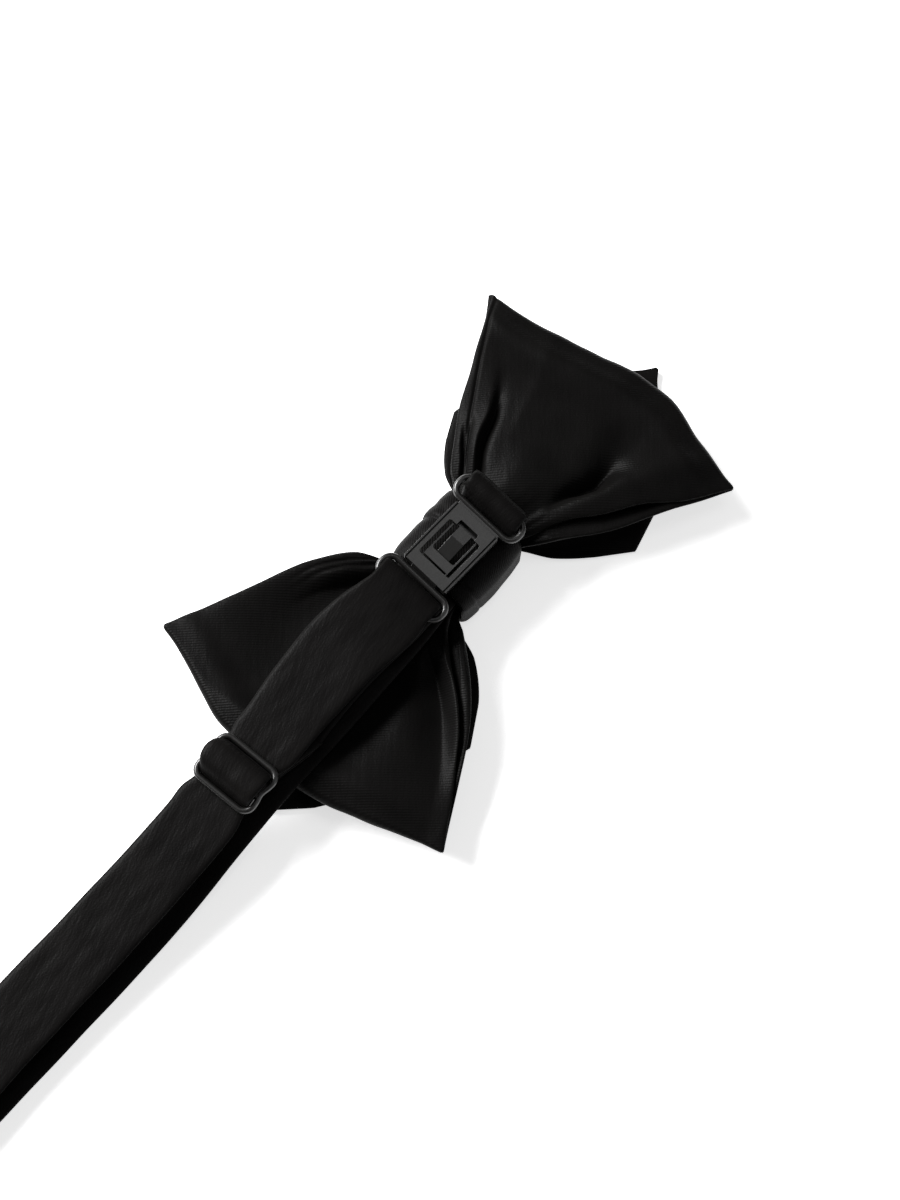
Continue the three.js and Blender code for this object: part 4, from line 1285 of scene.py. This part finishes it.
class Making:
    """Runs a class's building functions in turn."""

    def execute(self, context):
        for build in self.builds:
            build()
        return {"FINISHED"}


class BOWTIE_OT_back_bow(Making, bpy.types.Operator):
    """Make the looped back bow"""

    bl_idname = "bow_tie.back_bow"
    bl_label = "Back bow"
    builds = (build_back_bow,)


class BOWTIE_OT_front_bow(Making, bpy.types.Operator):
    """Make the front leaf with its diamond points"""

    bl_idname = "bow_tie.front_bow"
    bl_label = "Front bow"
    builds = (build_front_bow,)


class BOWTIE_OT_centre_knot(Making, bpy.types.Operator):
    """Make the centre knot"""

    bl_idname = "bow_tie.centre_knot"
    bl_label = "Centre knot"
    builds = (build_centre_knot,)


class BOWTIE_OT_straps(Making, bpy.types.Operator):
    """Make the neck strap and the tab"""

    bl_idname = "bow_tie.straps"
    bl_label = "Strap and tab"
    builds = (build_neck_strap, build_strap_tab)


class BOWTIE_OT_clasp(Making, bpy.types.Operator):
    """Make the clasp's eye and hook"""

    bl_idname = "bow_tie.clasp"
    bl_label = "Clasp"
    builds = (build_clasp_eye, build_clasp_hook)


class BOWTIE_OT_slider(Making, bpy.types.Operator):
    """Make the slider"""

    bl_idname = "bow_tie.slider"
    bl_label = "Slider"
    builds = (build_slider,)


class BOWTIE_OT_stage(Making, bpy.types.Operator):
    """Make the floor, the lights and the camera"""

    bl_idname = "bow_tie.stage"
    bl_label = "Stage"
    builds = (build_stage,)


class BOWTIE_PT_panel(bpy.types.Panel):
    """The sizes and finishes of the tie, and what makes each piece"""

    bl_label = "Diamond point bow tie"
    bl_idname = "BOWTIE_PT_panel"
    bl_space_type = "VIEW_3D"
    bl_region_type = "UI"
    bl_category = "Bow tie"

    def draw(self, context):
        scene = context.scene
        for group in (scene.bow_tie_satin, scene.bow_tie_fittings, scene.bow_tie_stage):
            box = self.layout.box()
            for name in group.__annotations__:
                box.prop(group, name)
        for operator in OPERATORS:
            self.layout.operator(operator.bl_idname)


OPERATORS = (
    BOWTIE_OT_stage,
    BOWTIE_OT_front_bow,
    BOWTIE_OT_back_bow,
    BOWTIE_OT_centre_knot,
    BOWTIE_OT_straps,
    BOWTIE_OT_clasp,
    BOWTIE_OT_slider,
)
CLASSES = (BowTieSatin, BowTieFittings, BowTieStage, *OPERATORS, BOWTIE_PT_panel)


def register():
    for cls in CLASSES:
        bpy.utils.register_class(cls)
    bpy.types.Scene.bow_tie_satin = PointerProperty(type=BowTieSatin)
    bpy.types.Scene.bow_tie_fittings = PointerProperty(type=BowTieFittings)
    bpy.types.Scene.bow_tie_stage = PointerProperty(type=BowTieStage)


def unregister():
    del bpy.types.Scene.bow_tie_stage
    del bpy.types.Scene.bow_tie_fittings
    del bpy.types.Scene.bow_tie_satin
    for cls in reversed(CLASSES):
        bpy.utils.unregister_class(cls)


def main():
    register()
    deselect()
    bpy.ops.bow_tie.stage()
    bpy.ops.bow_tie.front_bow()
    bpy.ops.bow_tie.back_bow()
    bpy.ops.bow_tie.centre_knot()
    bpy.ops.bow_tie.straps()
    bpy.ops.bow_tie.clasp()
    bpy.ops.bow_tie.slider()


if __name__ == "__main__":
    main()
